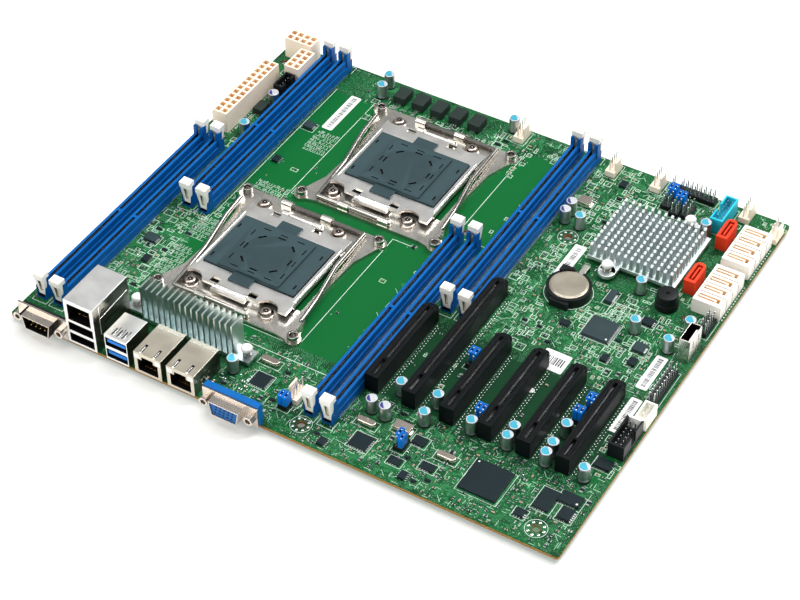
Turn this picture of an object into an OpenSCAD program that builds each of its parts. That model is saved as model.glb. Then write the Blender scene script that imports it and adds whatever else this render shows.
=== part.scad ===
// Two-socket server motherboard, 12 x 10 inch ATX outline.
// Millimetres, Z up. The origin is the middle of the board's underside; +X runs along
// the long connector edge and +Y runs from that edge across the board.

/* [Board] */
// length of the board along the connector edge
board_l = 304.8; // [280:0.1:330]
// width of the board
board_w = 254; // [220:0.5:300]
// thickness of the board
board_t = 1.6; // [1.2:0.1:2.4]
// radius of the board corners
corner_r = 2; // [0.5:0.5:5]
// radius of the chassis screw holes
mount_r = 1.98; // [1.6:0.01:2.2]

/* [Memory sockets] */
// overall length of one memory socket
dimm_l = 141.5; // [130:0.5:150]
// width of one memory socket
dimm_w = 5.9; // [5:0.1:7]
// height of the slotted body
dimm_h = 8.5; // [6:0.1:11]
// height of the end towers
tower_h = 13.3; // [12:0.1:20]
// depth of an end tower along the socket
tower_d = 5.2; // [5:0.1:8]
// width of the module slot
dimm_slot = 1.6; // [1.3:0.1:2.2]
// largest width of an end latch
latch_w = 6; // [5:0.1:6.6]
// height of the latch pivot above the board
latch_pivot_z = 4; // [3:0.1:6]
// distance of the latch pivot from the socket end
latch_pivot_y = 2.2; // [1.8:0.1:3]

/* [Processor sockets] */
// spacing of the cooler studs in both directions
stud_pitch = 80; // [75:0.1:94]
// width of the hinged load plate
plate_w = 60; // [50:0.5:66]
// thickness of the load plate sheet
plate_t = 1.5; // [1:0.1:2]
// width of the load plate window
window_w = 54.5; // [45:0.5:56]
// depth of the load plate window
window_d = 39; // [34:0.5:46]
// radius of the lever wire
lever_r = 1.2; // [0.8:0.1:1.6]
// thickness of the sheet frame
frame_t = 1.8; // [1.2:0.1:2.5]
// thickness of the backplate under the board
backplate_t = 2.2; // [1.5:0.1:3]

/* [Expansion slots] */
// distance between neighbouring slots
slot_pitch = 20.32; // [18:0.01:24]
// width of one slot body
slot_w = 7.4; // [6:0.1:7.4]
// height of one slot body
slot_h = 11; // [8:0.1:12]
// length of a short slot
slot_short = 56; // [25:0.5:60]
// length of the long slot
slot_long = 89; // [80:0.5:92]

/* [Power sockets] */
// pitch of the power pins
power_pitch = 4.2; // [4:0.1:4.5]
// height of the power socket bodies
power_h = 13; // [10:0.1:16]

/* [Heatsinks] */
// height of the plate-fin heatsink
fin_h = 24; // [15:0.5:30]
// number of plate fins
fin_n = 17; // [8:1:24]
// height of the pin-fin heatsink
pin_h = 12; // [8:0.5:20]
// pin columns across the pin-fin heatsink
pin_cols = 13; // [6:1:16]
// pin rows along the pin-fin heatsink
pin_rows = 12; // [6:1:16]

/* [Battery] */
// diameter of the coin cell
cell_d = 20; // [16:0.1:24]
// thickness of the coin cell
cell_t = 3.2; // [2:0.1:5]

/* [Small parts] */
// diameter of the round capacitors
cap_d = 6.3; // [5:0.1:6.4]
// height of the round capacitors
cap_h = 9; // [6:0.1:12]
// width of a power choke
choke_w = 7.2; // [6:0.1:11]
// pitch of the header pins
pin_pitch = 2.54; // [2:0.01:3]
// smoothness of round surfaces
round_fn = 24; // [16:4:48]

/* [Hidden] */
$fn = round_fn;
eps = 0.01;
// board positions below are measured from the rear left corner of the board
outer_y = 16.5;
inner_y = 109.5;
dimm_at = [[7.1, outer_y, -1], [17.2, outer_y, -1], [29.5, inner_y, -1], [39.6, inner_y, -1],
  [164, outer_y, 1], [174.1, outer_y, 1], [184.4, inner_y, 1], [194.6, inner_y, 1]];
key_off = 5;
socket_a = [90.9, 94];
socket_b = [116.4, 186.6];
slot_x0 = 181;
slot_y0 = 44.7;
screw_xy = [[-25.5, -32.5], [19.5, -32.5], [-25.5, 34.5], [19.5, 34.5]];
screw_r = 1.55;
screw_head_r = 4.2;
shaft_near = -38.6;
shaft_far = 40.4;
shaft_z = 3.4;
hinge_y = 33;
hinge_z = 4;
hinge_r = 1.1;
plate_z = 4.5;
chassis_holes = [[163.83, 10.16], [288.29, 10.16], [6.35, 165.1], [163.83, 165.1], [288.29, 165.1],
  [6.35, 237.49], [288.29, 237.49], [210.6, 188.5]];
push_holes = [[240.8, 172.2], [262.2, 223.5], [118.8, 32.6], [52.8, 34.6]];
cap_xy = [[194.2, 51], [213.3, 52.5], [213.3, 39.7], [234.8, 46.3], [253.6, 53.2], [253.6, 46.3],
  [273.7, 66.7], [273.7, 53.2], [273.7, 46.3], [293.1, 46.7], [117, 23.1], [187.9, 34.3],
  [195.6, 33.5], [203.5, 205.6], [203.5, 198.5], [212.3, 198.1], [260.4, 170.9], [270.3, 144.4],
  [290, 140.5], [293.5, 157.2], [269.8, 225.4], [68.3, 248.6], [69.4, 238.9], [146, 249.7],
  [22.3, 202.6], [22.6, 173.8]];
chip_boxes = [[246, 13, 19.5, 19.5, 1.8], [248.6, 129.4, 14.4, 14.4, 1.6], [280.5, 20.5, 8, 13, 1.2],
  [288.8, 29.2, 10.6, 6.6, 1.5], [128, 20, 8.5, 8.5, 1], [189.2, 10.4, 9.6, 9, 1],
  [293, 20, 6.5, 7, 1.8], [293, 56, 8, 6, 1.6], [25, 77, 7, 5.5, 2], [46, 194, 6, 5, 2],
  [214.2, 26.1, 6.4, 5.2, 1.2], [225, 14.6, 6.8, 4.4, 1], [210.6, 10.4, 6.2, 4, 1.2],
  [202.3, 28.8, 9, 5.2, 3], [275.4, 12, 5, 4.4, 1.5], [248, 155, 4, 9, 2.2], [277, 122, 4, 5, 1.6],
  [274.8, 131.6, 6.3, 6, 2], [270.5, 150.5, 6, 5, 1.6], [203, 213, 7, 6, 3]];
fan_xy = [[149.5, 241.5, 0], [204.5, 241.3, 0], [230.2, 242, 0], [280, 243.2, 0], [298.6, 236.2, 0],
  [150.4, 18.8, 1]];
// pin strips: low corner, columns, rows, and the column left out
strips = [[239.25, 247.1, 10, 2, 1], [241, 232.5, 2, 5, -1], [247.1, 229.4, 2, 5, -1],
  [253, 230.4, 2, 4, -1], [297, 157.4, 2, 5, -1], [296.4, 103, 2, 10, -1], [208.7, 18.4, 2, 3, -1],
  [148.5, 13.4, 2, 2, -1], [211.1, 81.4, 2, 3, -1], [232, 51, 2, 3, -1], [273.4, 82.9, 2, 3, -1],
  [271.9, 75.2, 2, 2, -1]];
// jumpers: strip index, column and lower row of the two bridged pins
jumper_on = [[1, 0, 3], [1, 1, 3], [2, 0, 3], [2, 1, 3], [6, 0, 1], [6, 1, 0], [7, 0, 0], [7, 1, 0],
  [8, 0, 1], [8, 1, 1], [9, 0, 1], [9, 1, 1], [10, 0, 1], [10, 1, 1], [11, 0, 0], [11, 1, 0]];
serial_x = 21.8;
vga_x = 132.6;
port_z = 6.4;
fin_x0 = 60.6;
fin_y0 = 27.8;
fin_len = 54;
fin_depth = 9;
hs_x = 227;
hs_y = 177.6;
hs_w = 48.5;
hs_d = 42.6;
base_z = 2.2;
base_t = 2;
cell_xy = [229.8, 152.6];
cell_z = 2.6;
choke_x0 = 77.3;
choke_pitch = 11.6;

// move to a point on the board's top face, measured from the rear left corner
module at(x, y, z = 0) translate([x - board_l / 2, y - board_w / 2, board_t + z]) children();

// box given by its low corner on the board and its size
module slab(x, y, z, sx, sy, sz) at(x, y, z) cube([sx, sy, sz]);

// round bar between two points
module rod(p, q, r) {
  v = q - p;
  l = norm(v);
  translate(p) rotate([0, acos(v[2] / l), atan2(v[1], v[0])]) cylinder(h = l, r = r, $fn = 16);
}

// round bar along X, centred on its middle
module xbar(x, y, z, l, r) translate([x, y, z]) rotate([0, 90, 0]) cylinder(h = l, r = r, center = true);

module pcb() color("#14713a") difference() {
  union() {
    slab(corner_r, 0, -board_t, board_l - 2 * corner_r, board_w, board_t);
    slab(0, corner_r, -board_t, board_l, board_w - 2 * corner_r, board_t);
    for (x = [corner_r, board_l - corner_r], y = [corner_r, board_w - corner_r])
      at(x, y, -board_t) cylinder(r = corner_r, h = board_t);
  }
  for (p = chassis_holes) at(p[0], p[1], -board_t - 1) cylinder(r = mount_r, h = board_t + 2);
  for (p = push_holes) at(p[0], p[1], -board_t - 1) cylinder(r = 1.6, h = board_t + 2);
  for (s = [socket_a, socket_b]) {
    for (q = screw_xy) at(s[0] + q[0], s[1] + q[1], -board_t - 1) cylinder(r = 1.9, h = board_t + 2);
    for (i = [-1, 1], j = [-1, 1])
      at(s[0] + i * stud_pitch / 2, s[1] + j * stud_pitch / 2, -board_t - 1)
        cylinder(r = 2.3, h = board_t + 2);
  }
}

// one memory socket, near end at the local origin
module dimm_socket(key) {
  ledge_h = 4.8;
  top_w = 4.7;
  difference() {
    union() {
      translate([-dimm_w / 2, tower_d - eps, 0]) cube([dimm_w, dimm_l - 2 * tower_d + 2 * eps, ledge_h]);
      translate([-top_w / 2, tower_d - eps, 0]) cube([top_w, dimm_l - 2 * tower_d + 2 * eps, dimm_h]);
      for (y = [0, dimm_l - tower_d]) translate([-dimm_w / 2, y, 0]) cube([dimm_w, tower_d, tower_h]);
    }
    difference() {
      translate([-dimm_slot / 2, tower_d - 2, 2.8]) cube([dimm_slot, dimm_l - 2 * tower_d + 4, tower_h]);
      translate([-dimm_w / 2, dimm_l / 2 + key * key_off - 0.8, 0]) cube([dimm_w, 1.6, dimm_h]);
    }
    for (m = [0, 1]) translate([0, m * dimm_l, 0]) mirror([0, m, 0]) {
      translate([-2.25, -1, 1.2]) cube([4.5, 5.4, tower_h]);
      translate([0, 1.9, 0]) rotate([90, 0, 0]) linear_extrude(height = 3)
        polygon([[-2.25, 1.2], [2.25, 1.2], [2.65, 6], [3.2, 9.4], [3.2, 14], [-3.2, 14], [-3.2, 9.4],
          [-2.65, 6]]);
      xbar(0, latch_pivot_y, latch_pivot_z, dimm_w - 0.4, 0.95);
    }
  }
}

module dimm_sockets() color("#1257b8") for (d = dimm_at) at(d[0], d[1]) dimm_socket(d[2]);

// one end latch, outer face towards -Y
module latch_shape() {
  leg_w = 4.3;
  head_z = tower_h + 0.3;
  difference() {
    union() {
      translate([-leg_w / 2, 0.9, 2.4]) cube([leg_w, 2.3, 11.6]);
      intersection() {
        translate([0, 1.7, 0]) rotate([90, 0, 0]) linear_extrude(height = 3)
          polygon([[-leg_w / 2, 2.4], [leg_w / 2, 2.4], [2.5, 6], [2.95, 9.6], [latch_w / 2, head_z],
            [-latch_w / 2, head_z], [-2.95, 9.6], [-2.5, 6]]);
        translate([-4, 0, 0]) rotate([90, 0, 90]) linear_extrude(height = 8)
          polygon([[0.9, 2], [1.8, 2], [1.8, 14], [-0.8, 14], [-0.8, head_z], [0.2, 9.6], [0.7, 6]]);
      }
      translate([-latch_w / 2, -1.1, head_z - eps]) cube([latch_w, 4.9, 2.9]);
      translate([-latch_w / 2 + 0.6, -0.5, head_z + 2.8]) cube([latch_w - 1.2, 3.7, 0.8]);
      xbar(0, latch_pivot_y, latch_pivot_z, dimm_w - 0.6, 0.9);
      translate([-0.6, 3, 10.2]) cube([1.2, 1.1, 1.6]);
    }
    translate([-0.9, -1.2, 5]) cube([1.8, 2.3, tower_h - 6]);
  }
}

module latch(i, far) color("#f1e9d8")
  at(dimm_at[i][0], dimm_at[i][1] + (far ? dimm_l : 0)) mirror([0, far ? 1 : 0, 0]) latch_shape();

module latch_1n() latch(0, false);
module latch_1f() latch(0, true);
module latch_2n() latch(1, false);
module latch_2f() latch(1, true);
module latch_3n() latch(2, false);
module latch_3f() latch(2, true);
module latch_4n() latch(3, false);
module latch_4f() latch(3, true);
module latch_5n() latch(4, false);
module latch_5f() latch(4, true);
module latch_6n() latch(5, false);
module latch_6f() latch(5, true);
module latch_7n() latch(6, false);
module latch_7f() latch(6, true);
module latch_8n() latch(7, false);
module latch_8f() latch(7, true);

module cpu_socket_shape() difference() {
  translate([-29, -25.5, 0]) cube([58, 51, 3]);
  translate([-26.3, -22.6, 1.8]) cube([52.6, 45.2, 2]);
  translate([-11, -8, -1]) cube([22, 16, 5]);
}

module cpu_sockets() color("#2a2c2f") for (s = [socket_a, socket_b]) at(s[0], s[1]) cpu_socket_shape();

// stamped frame with four ears, curled lips for the lever shafts and hinge eyes
module frame_shape() {
  half = stud_pitch / 2;
  difference() {
    union() {
      linear_extrude(height = frame_t) polygon([[-31, -41], [31, -41], [half + 2, -half - 3.4],
        [half + 3.4, -half - 1], [36.5, -22], [35.2, 0], [36.5, 22], [half + 3.4, half + 1],
        [half + 2, half + 3.4], [-half - 2, half + 3.4], [-half - 3.4, half + 1], [-36.5, 22],
        [-35.2, 0], [-36.5, -22], [-half - 3.4, -half - 1], [-half - 2, -half - 3.4]]);
      for (i = [-1, 1], j = [-1, 1]) translate([i * half, j * half, 0]) cylinder(r = 4.1, h = frame_t);
      for (x = [-15, 9]) xbar(x, shaft_near, shaft_z, 6, 2);
      for (x = [-15, 9]) translate([x - 3, shaft_near - 2, frame_t - eps]) cube([6, 4, shaft_z - frame_t]);
      for (x = [-15, 9]) xbar(x, shaft_far, shaft_z, 6, 2);
      for (x = [-15, 9]) translate([x - 3, shaft_far - 2, frame_t - eps]) cube([6, 4, shaft_z - frame_t]);
      for (x = [-11, 8]) xbar(x, hinge_y, hinge_z, 4, 2);
      for (x = [-11, 8]) translate([x - 2, hinge_y - 2, frame_t - eps]) cube([4, 4, hinge_z - frame_t]);
      translate([-40.9, 32.6, frame_t - eps]) cube([1.1, 3.8, 5]);
      translate([39.8, -36.4, frame_t - eps]) cube([1.1, 3.8, 5]);
    }
    translate([-29.4, -25.9, -1]) cube([58.8, 51.8, 6]);
    translate([-33, -22, -1]) cube([66, 44, 6]);
    for (q = screw_xy) translate([q[0], q[1], -1]) cylinder(r = 1.8, h = 6);
    for (i = [-1, 1], j = [-1, 1]) translate([i * half, j * half, -1]) cylinder(r = 2.1, h = 6);
    xbar(0, shaft_near, shaft_z, 80, lever_r + 0.05);
    xbar(0, shaft_far, shaft_z, 80, lever_r + 0.05);
    xbar(0, hinge_y, hinge_z, 40, hinge_r + 0.05);
  }
}

module ilm_frames() color("#b9b2a8") for (s = [socket_a, socket_b]) at(s[0], s[1]) frame_shape();

module backplate_shape() difference() {
  half = stud_pitch / 2;
  translate([-half - 4, -half - 4, 0]) cube([stud_pitch + 8, stud_pitch + 8, backplate_t]);
  translate([-20, -17, -1]) cube([40, 34, 5]);
  for (a = [-1, 1]) translate([a * 52, 0, -1]) cylinder(r = 24, h = 5);
  for (q = screw_xy) translate([q[0], q[1], -1]) cylinder(r = screw_r + 0.05, h = 5);
  for (i = [-1, 1], j = [-1, 1]) translate([i * half, j * half, -1]) cylinder(r = 2.05, h = 5);
}

module ilm_backplates() color("#8f9397")
  for (s = [socket_a, socket_b]) at(s[0], s[1], -board_t - backplate_t) backplate_shape();

module load_plate_shape() {
  edge_n = -31;
  edge_f = hinge_y - 2.7;
  difference() {
    union() {
      translate([-plate_w / 2, edge_n, plate_z]) cube([plate_w, edge_f - edge_n, plate_t]);
      for (s = [-1, 1]) translate([s * (plate_w / 2 - 0.75) - 0.75, -24, plate_z - 1.3])
        cube([1.5, 48, 1.5]);
      translate([-8, edge_f - 1, hinge_z - 0.6]) cube([13, hinge_y - edge_f + 1, 1.2]);
      translate([-8, edge_f - 1.5, hinge_z - 0.6]) cube([13, 1.5, plate_z - hinge_z + 1]);
      xbar(-1.5, hinge_y, hinge_z, 22, hinge_r);
      translate([-13, edge_n - 2.4, plate_z - 1]) cube([20, 3.2, 1.6]);
      translate([-13, edge_n, plate_z - 1]) cube([20, 1.4, 1.6]);
    }
    translate([-window_w / 2, -window_d / 2, 0]) cube([window_w, window_d, 9]);
    for (q = screw_xy) translate([q[0], q[1], 0]) cylinder(r = 6, h = 9);
    for (x = [-13.5, 9]) translate([x - 2.5, -29.5, 0]) cube([5, 3.4, 9]);
    for (x = [-14, 11]) translate([x - 2.5, 26.5, 0]) cube([5, 3, 9]);
  }
}

module load_plate_a() color("#c4bdb2") at(socket_a[0], socket_a[1]) load_plate_shape();
module load_plate_b() color("#c4bdb2") at(socket_b[0], socket_b[1]) load_plate_shape();

// bent wire lever; the shaft lies on the pivot axis and the arm runs away from it
module lever_shape(side, shaft_y, run) {
  x0 = side * 31;
  x1 = side * 32.4;
  x2 = side * 37;
  x3 = side * 38.4;
  arm = [[x0, shaft_y, shaft_z], [x1, shaft_y + run * 0.42, shaft_z + 1.4],
    [x2, shaft_y + run * 0.78, shaft_z + 1.6], [x3, shaft_y + run, shaft_z + 1.4]];
  xbar(side * 9, shaft_y, shaft_z, 44, lever_r);
  for (i = [0 : 2]) rod(arm[i], arm[i + 1], lever_r);
  for (i = [0 : 3]) translate(arm[i]) sphere(r = lever_r + 0.05);
}

module lever_left_a() color("#a9a7a3") at(socket_a[0], socket_a[1]) lever_shape(-1, shaft_near, 70);
module lever_right_a() color("#a9a7a3") at(socket_a[0], socket_a[1]) lever_shape(1, shaft_far, -70);
module lever_left_b() color("#a9a7a3") at(socket_b[0], socket_b[1]) lever_shape(-1, shaft_near, 70);
module lever_right_b() color("#a9a7a3") at(socket_b[0], socket_b[1]) lever_shape(1, shaft_far, -70);

// lift-off protective cover held in the load plate window
module cover_shape() {
  top_z = 8.2;
  base_z = 6.1;
  skirt_w = window_w - 1;
  skirt_d = window_d - 1;
  difference() {
    union() {
      translate([-skirt_w / 2, -skirt_d / 2, 3.4]) cube([skirt_w, skirt_d, base_z + 1 - 3.4]);
      translate([-18.4, -18.6, 7]) cube([36, 35, top_z - 7]);
      translate([-8, -25, base_z]) cube([12.5, 50, 1]);
    }
    translate([-skirt_w / 2 + 1.2, -skirt_d / 2 + 1.2, 0]) cube([skirt_w - 2.4, skirt_d - 2.4, 5.2]);
    for (a = [0, 90, 180, 270]) translate([0, -1, top_z - 0.7]) rotate([0, 0, a]) {
      translate([12.6, -2.1, 0]) cube([0.9, 4.2, 2]);
      for (o = [-10, 0, 10]) translate([15, o - 2.1, 0]) cube([0.6, 4.2, 2]);
      rotate([0, 0, 45]) translate([12.6, -2.1, 0]) cube([1.1, 4.2, 2]);
    }
    for (x = [-25, 24.2], y = [10.8, -13.6]) translate([x - 0.5, y - 1.6, 6.4]) cube([1, 3.2, 2]);
  }
}

module cover_a() color("#47555f") at(socket_a[0], socket_a[1]) cover_shape();
module cover_b() color("#47555f") at(socket_b[0], socket_b[1]) cover_shape();

module ilm_screws() color("#b7a9a0") for (s = [socket_a, socket_b], q = screw_xy)
  at(s[0] + q[0], s[1] + q[1]) difference() {
    union() {
      translate([0, 0, frame_t]) cylinder(r = screw_head_r, h = 2.4);
      translate([0, 0, frame_t + 2.4 - eps]) cylinder(r = 3, h = 0.8);
      translate([0, 0, -board_t - backplate_t])
        cylinder(r = screw_r, h = board_t + backplate_t + frame_t + 1);
    }
    translate([0, 0, frame_t + 1.4]) cylinder(r = 1.5, h = 3, $fn = 6);
  }

module cooler_studs() color("#9c9a97") for (s = [socket_a, socket_b], i = [-1, 1], j = [-1, 1])
  at(s[0] + i * stud_pitch / 2, s[1] + j * stud_pitch / 2) difference() {
    union() {
      translate([0, 0, frame_t]) cylinder(r = 3, h = 3.2);
      translate([0, 0, -board_t - backplate_t]) cylinder(r = 2, h = board_t + backplate_t + frame_t + 1);
    }
    translate([0, 0, frame_t - 1]) cylinder(r = 1.65, h = 6);
  }

// card slot with a key rib; near end at the local origin
module card_slot(l) difference() {
  end_r = 2.4;
  union() {
    translate([-slot_w / 2, 0, 0]) cube([slot_w, l, slot_h]);
    translate([-slot_w / 2, l - eps, 0]) cube([slot_w, 1, slot_h - 2.6]);
    translate([end_r - slot_w / 2, l, 0]) cube([slot_w - 2 * end_r, 1 + end_r, slot_h - 2.6]);
    for (s = [-1, 1]) translate([s * (slot_w / 2 - end_r), l + 1, 0]) cylinder(r = end_r, h = slot_h - 2.6);
  }
  translate([-0.9, 2, 3]) cube([1.8, 11, slot_h]);
  translate([-0.9, 14.6, 3]) cube([1.8, l - 14, slot_h]);
  for (s = [-1, 1]) translate([s * 2.3 - 0.35, 2, slot_h - 0.6]) cube([0.7, l - 4.4, 2]);
  for (s = [-1, 1]) translate([s * slot_w / 2, l, slot_h - 2.6]) rotate([0, 0, 45])
    translate([-1, -1, 0]) cube([2, 2, slot_h]);
}

module slots_short() color("#1d2124")
  for (i = [0, 2, 3, 4, 5]) at(slot_x0 + i * slot_pitch, slot_y0) card_slot(slot_short);

module slot_long() color("#1d2124") at(slot_x0 + slot_pitch, slot_y0) card_slot(slot_long);

// power socket with square wells, cols along X
module power_socket(cols, rows) {
  w = cols * power_pitch + 0.8;
  d = rows * power_pitch + 0.8;
  well = 2.7;
  rim = 0.4 + (power_pitch - well) / 2;
  difference() {
    cube([w, d, power_h]);
    for (i = [0 : cols - 1], j = [0 : rows - 1])
      translate([rim + i * power_pitch, rim + j * power_pitch, 2.5]) cube([well, well, power_h]);
  }
}

module power_main() color("#efe3cf") {
  at(4.8, 169.6) power_socket(2, 12);
  slab(3.2, 190.2, 6, 1.6 + eps, 10, 6);
}

module power_cpu() color("#efe3cf") {
  at(16.9, 221.4) power_socket(2, 4);
  at(3.6, 242.4) power_socket(4, 2);
}

// D-shaped front of a connector, facing -Y, centred on X and Z
module d_front(w, h, l) rotate([90, 0, 0]) linear_extrude(height = l)
  polygon([[-w / 2, h / 2], [w / 2, h / 2], [w / 2 - 1.4, -h / 2], [-w / 2 + 1.4, -h / 2]]);

// flange with its D-shell and two hexagonal jack screws
module d_shell(d_w, flange_w, flange_h, zc) difference() {
  union() {
    translate([-flange_w / 2, -1, 0]) cube([flange_w, 1, flange_h]);
    translate([0, -1 + eps, zc]) d_front(d_w, 8.3, 5.6);
    for (s = [-1, 1]) translate([s * 12.5, -1 + eps, zc]) rotate([90, 0, 0])
      cylinder(r = 2.7, h = 4, $fn = 6);
  }
  translate([0, 1, zc]) d_front(d_w - 1, 7.3, 9);
  for (s = [-1, 1]) translate([s * 12.5, -2, zc]) rotate([90, 0, 0]) cylinder(r = 1.4, h = 4);
}

module serial_shell() color("#b3a69a") at(serial_x, 0.2) d_shell(17, 29.4, 12.5, port_z);

module serial_insert() color("#202224") at(serial_x, 0.2) {
  difference() {
    union() {
      translate([-14.5, 0.05, 0]) cube([29, 4, 9]);
      translate([0, 0.1, port_z]) d_front(15.8, 7.1, 2.4);
    }
    for (i = [-2 : 2]) translate([i * 2.77, 0, port_z + 1.4]) rotate([90, 0, 0])
      cylinder(r = 0.5, h = 3, $fn = 8);
    for (i = [-1.5 : 1.5]) translate([i * 2.77, 0, port_z - 1.4]) rotate([90, 0, 0])
      cylinder(r = 0.5, h = 3, $fn = 8);
  }
}

module vga_shell() color("#b3a69a") at(vga_x, -1.3) d_shell(17, 30.8, 12, port_z);

module vga_body() color("#1d6fd0") at(vga_x, -1.3) difference() {
  union() {
    translate([-15.4, 0.05, 0]) cube([30.8, 3.6, 12.6]);
    translate([0, 0.1, port_z]) d_front(15.8, 7.1, 6);
  }
  for (j = [-1 : 1], i = [-2 : 2]) translate([i * 2.3 + j * 0.5, -5, port_z + j * 2]) rotate([90, 0, 0])
    cylinder(r = 0.45, h = 3, $fn = 8);
}

// metal jack body: rear openings are boxes [x, z, width, height, depth]
module jack(w, d, h, holes) difference() {
  cube([w, d, h]);
  for (o = holes) translate([o[0], -1, o[1]]) cube([o[2], o[4] + 1, o[3]]);
}

module lan_usb_stack() color("#b9b5b0") at(36.6, -0.6) {
  jack(17.4, 28.2, 28, [[2, 15.6, 13.4, 10.2, 14], [1.5, 8.6, 14.4, 5.2, 12], [1.5, 1.4, 14.4, 5.2, 12]]);
  for (z = [3.4, 10.6]) translate([3, 2, z]) cube([11.4, 10.2, 1.4]);
}

module usb3_stack() color("#b9b5b0") at(59.4, -0.6) {
  jack(13.4, 17.4, 16, [[0.6, 8.8, 12.2, 5.6, 12], [0.6, 1.2, 12.2, 5.6, 12]]);
  for (z = [3.4, 11]) translate([1.4, 0.4, z]) cube([10.6, 11.8, 1.9]);
}

module lan_ports() color("#b9b5b0") for (x = [76.4, 95.4]) at(x, -0.6)
  jack(15.8, 21.6, 13.2, [[2.1, 1.6, 11.6, 7.4, 14], [4.6, 8.9, 6.6, 2.2, 14]]);

module fin_heatsink() color("#a9b3b4") {
  slab(fin_x0, fin_y0, 2, fin_len, fin_depth, 2.2);
  for (i = [0 : fin_n - 1])
    slab(fin_x0 + i * (fin_len - 0.9) / (fin_n - 1), fin_y0, 4.2 - eps, 0.9, fin_depth, fin_h - 4.2);
  for (x = [fin_x0 + 1, fin_x0 + 19, fin_x0 + 37]) slab(x, fin_y0 + 1, 0, 15, fin_depth - 2, 2 + eps);
  difference() {
    union() {
      slab(fin_x0 + fin_len - eps, fin_y0, 2, 8, fin_depth, 1.6);
      slab(push_holes[3][0] - 4, fin_y0 + 2.3, 2, fin_x0 + 4 + eps - push_holes[3][0], fin_depth, 1.6);
    }
    for (i = [2, 3]) at(push_holes[i][0], push_holes[i][1], -1) cylinder(r = 1.7, h = 8);
  }
}

module pin_heatsink() color("#b4bcbd") {
  px = (hs_w - 1) / pin_cols;
  py = (hs_d - 1) / pin_rows;
  difference() {
    slab(hs_x, hs_y, base_z, hs_w, hs_d, pin_h - base_z);
    for (i = [1 : pin_cols - 1])
      slab(hs_x + 0.5 + i * px - 1.1, hs_y - 1, base_z + base_t, 2.2, hs_d + 2, pin_h);
    for (j = [1 : pin_rows - 1])
      slab(hs_x - 1, hs_y + 0.5 + j * py - 0.8, base_z + base_t, hs_w + 2, 1.6, pin_h);
  }
  slab(hs_x + 12, hs_y + 9, 0, 25, 25, base_z + eps);
  difference() {
    union() for (i = [0, 1]) {
      at(push_holes[i][0], push_holes[i][1], base_z) cylinder(r = 4.6, h = base_t);
      slab(push_holes[i][0] - 4.6, i == 0 ? push_holes[i][1] : hs_y + hs_d - eps, base_z, 9.2,
        i == 0 ? hs_y - push_holes[i][1] + eps : push_holes[i][1] - hs_y - hs_d + eps, base_t);
    }
    for (i = [0, 1]) at(push_holes[i][0], push_holes[i][1], 0) cylinder(r = 1.7, h = 8);
  }
}

module push_pins() color("#eeeeea") for (i = [0 : 3]) {
  seat = i < 2 ? base_z + base_t : 3.6;
  at(push_holes[i][0], push_holes[i][1], -board_t - 2) cylinder(r = 1.5, h = seat + board_t + 5);
  at(push_holes[i][0], push_holes[i][1], seat + 2.9) cylinder(r = 2.9, h = 3);
  at(push_holes[i][0], push_holes[i][1], seat) difference() {
    cylinder(r = 2.6, h = 3);
    translate([0, 0, -eps]) cylinder(r = 2.1, h = 2.6);
    for (z = [0.5, 1.6]) translate([-4, -4, z]) cube([8, 8, 0.5]);
  }
  at(push_holes[i][0], push_holes[i][1], seat) cylinder(r = 2.2, h = 3);
}

module battery_holder() color("#17191b") at(cell_xy[0], cell_xy[1]) difference() {
  union() {
    cylinder(r = cell_d / 2 + 1.5, h = 5, $fn = 48);
    translate([-4.5, -12.9, 0]) cube([10, 7, 4.2]);
    translate([-9, 6.5, 0]) cube([7, 4.5, 6.6]);
  }
  translate([0, 0, cell_z - 0.3]) cylinder(r = cell_d / 2 + 0.15, h = 6, $fn = 48);
  translate([-1.2, 8, cell_z - 0.2]) cube([3.6, 8, 6]);
  translate([0, 0, -1]) cylinder(r = 5, h = 3);
}

// spring contact strip that leaves the holder on the far side
module battery_contact() color("#c4b3a4") at(cell_xy[0], cell_xy[1]) {
  translate([-1, 10.3, cell_z]) cube([3.2, 9, 0.5]);
  translate([-1, 18.8, 0]) cube([3.2, 0.5, cell_z + 0.5]);
}

module coin_cell() color("#c9bfae") at(cell_xy[0], cell_xy[1], cell_z) {
  cylinder(r = cell_d / 2 - 0.05, h = cell_t - 0.5, $fn = 48);
  cylinder(r = cell_d / 2 - 0.8, h = cell_t, $fn = 48);
}

module buzzer() color("#15181b") at(275.8, 168.4) difference() {
  cylinder(r = 6, h = 9, $fn = 40);
  translate([0, 0, 6]) cylinder(r = 0.9, h = 5);
}

// upright data port well: a slot with a tongue
module sata_well(x, y, turn) at(x, y, 2) rotate([0, 0, turn]) difference() {
  translate([-5.9, -1.5, 0]) cube([11.8, 3, 9]);
  translate([-5, -0.5, -1]) cube([9.2, 0.9, 8]);
  translate([3.3, -1.2, -1]) cube([0.9, 1.4, 8]);
}

module sata_white() color("#f2e9df") for (y0 = [171.6, 205.4]) difference() {
  union() {
    slab(287.6, y0, 0, 15.2, 28.6, 8.6);
    slab(286.9, y0 + 1, 0, 0.8, 26.6, 5);
  }
  for (k = [0 : 3]) sata_well(294.6, y0 + 3.9 + k * 7, 0);
}

module sata_orange() color("#e8492a") for (y0 = [181.4, 218.8]) difference() {
  union() {
    slab(278.2, y0, 0, 6, 12.6, 8.6);
    at(281.2, y0 + 12.6) cylinder(r = 3, h = 8.6);
  }
  sata_well(281.2, y0 + 7.8, 90);
}

// open-topped box with a floor
module shroud(x, y, sx, sy, h) difference() {
  slab(x, y, 0, sx, sy, h);
  slab(x + 1, y + 1, 1.8, sx - 2, sy - 2, h);
}

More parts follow.
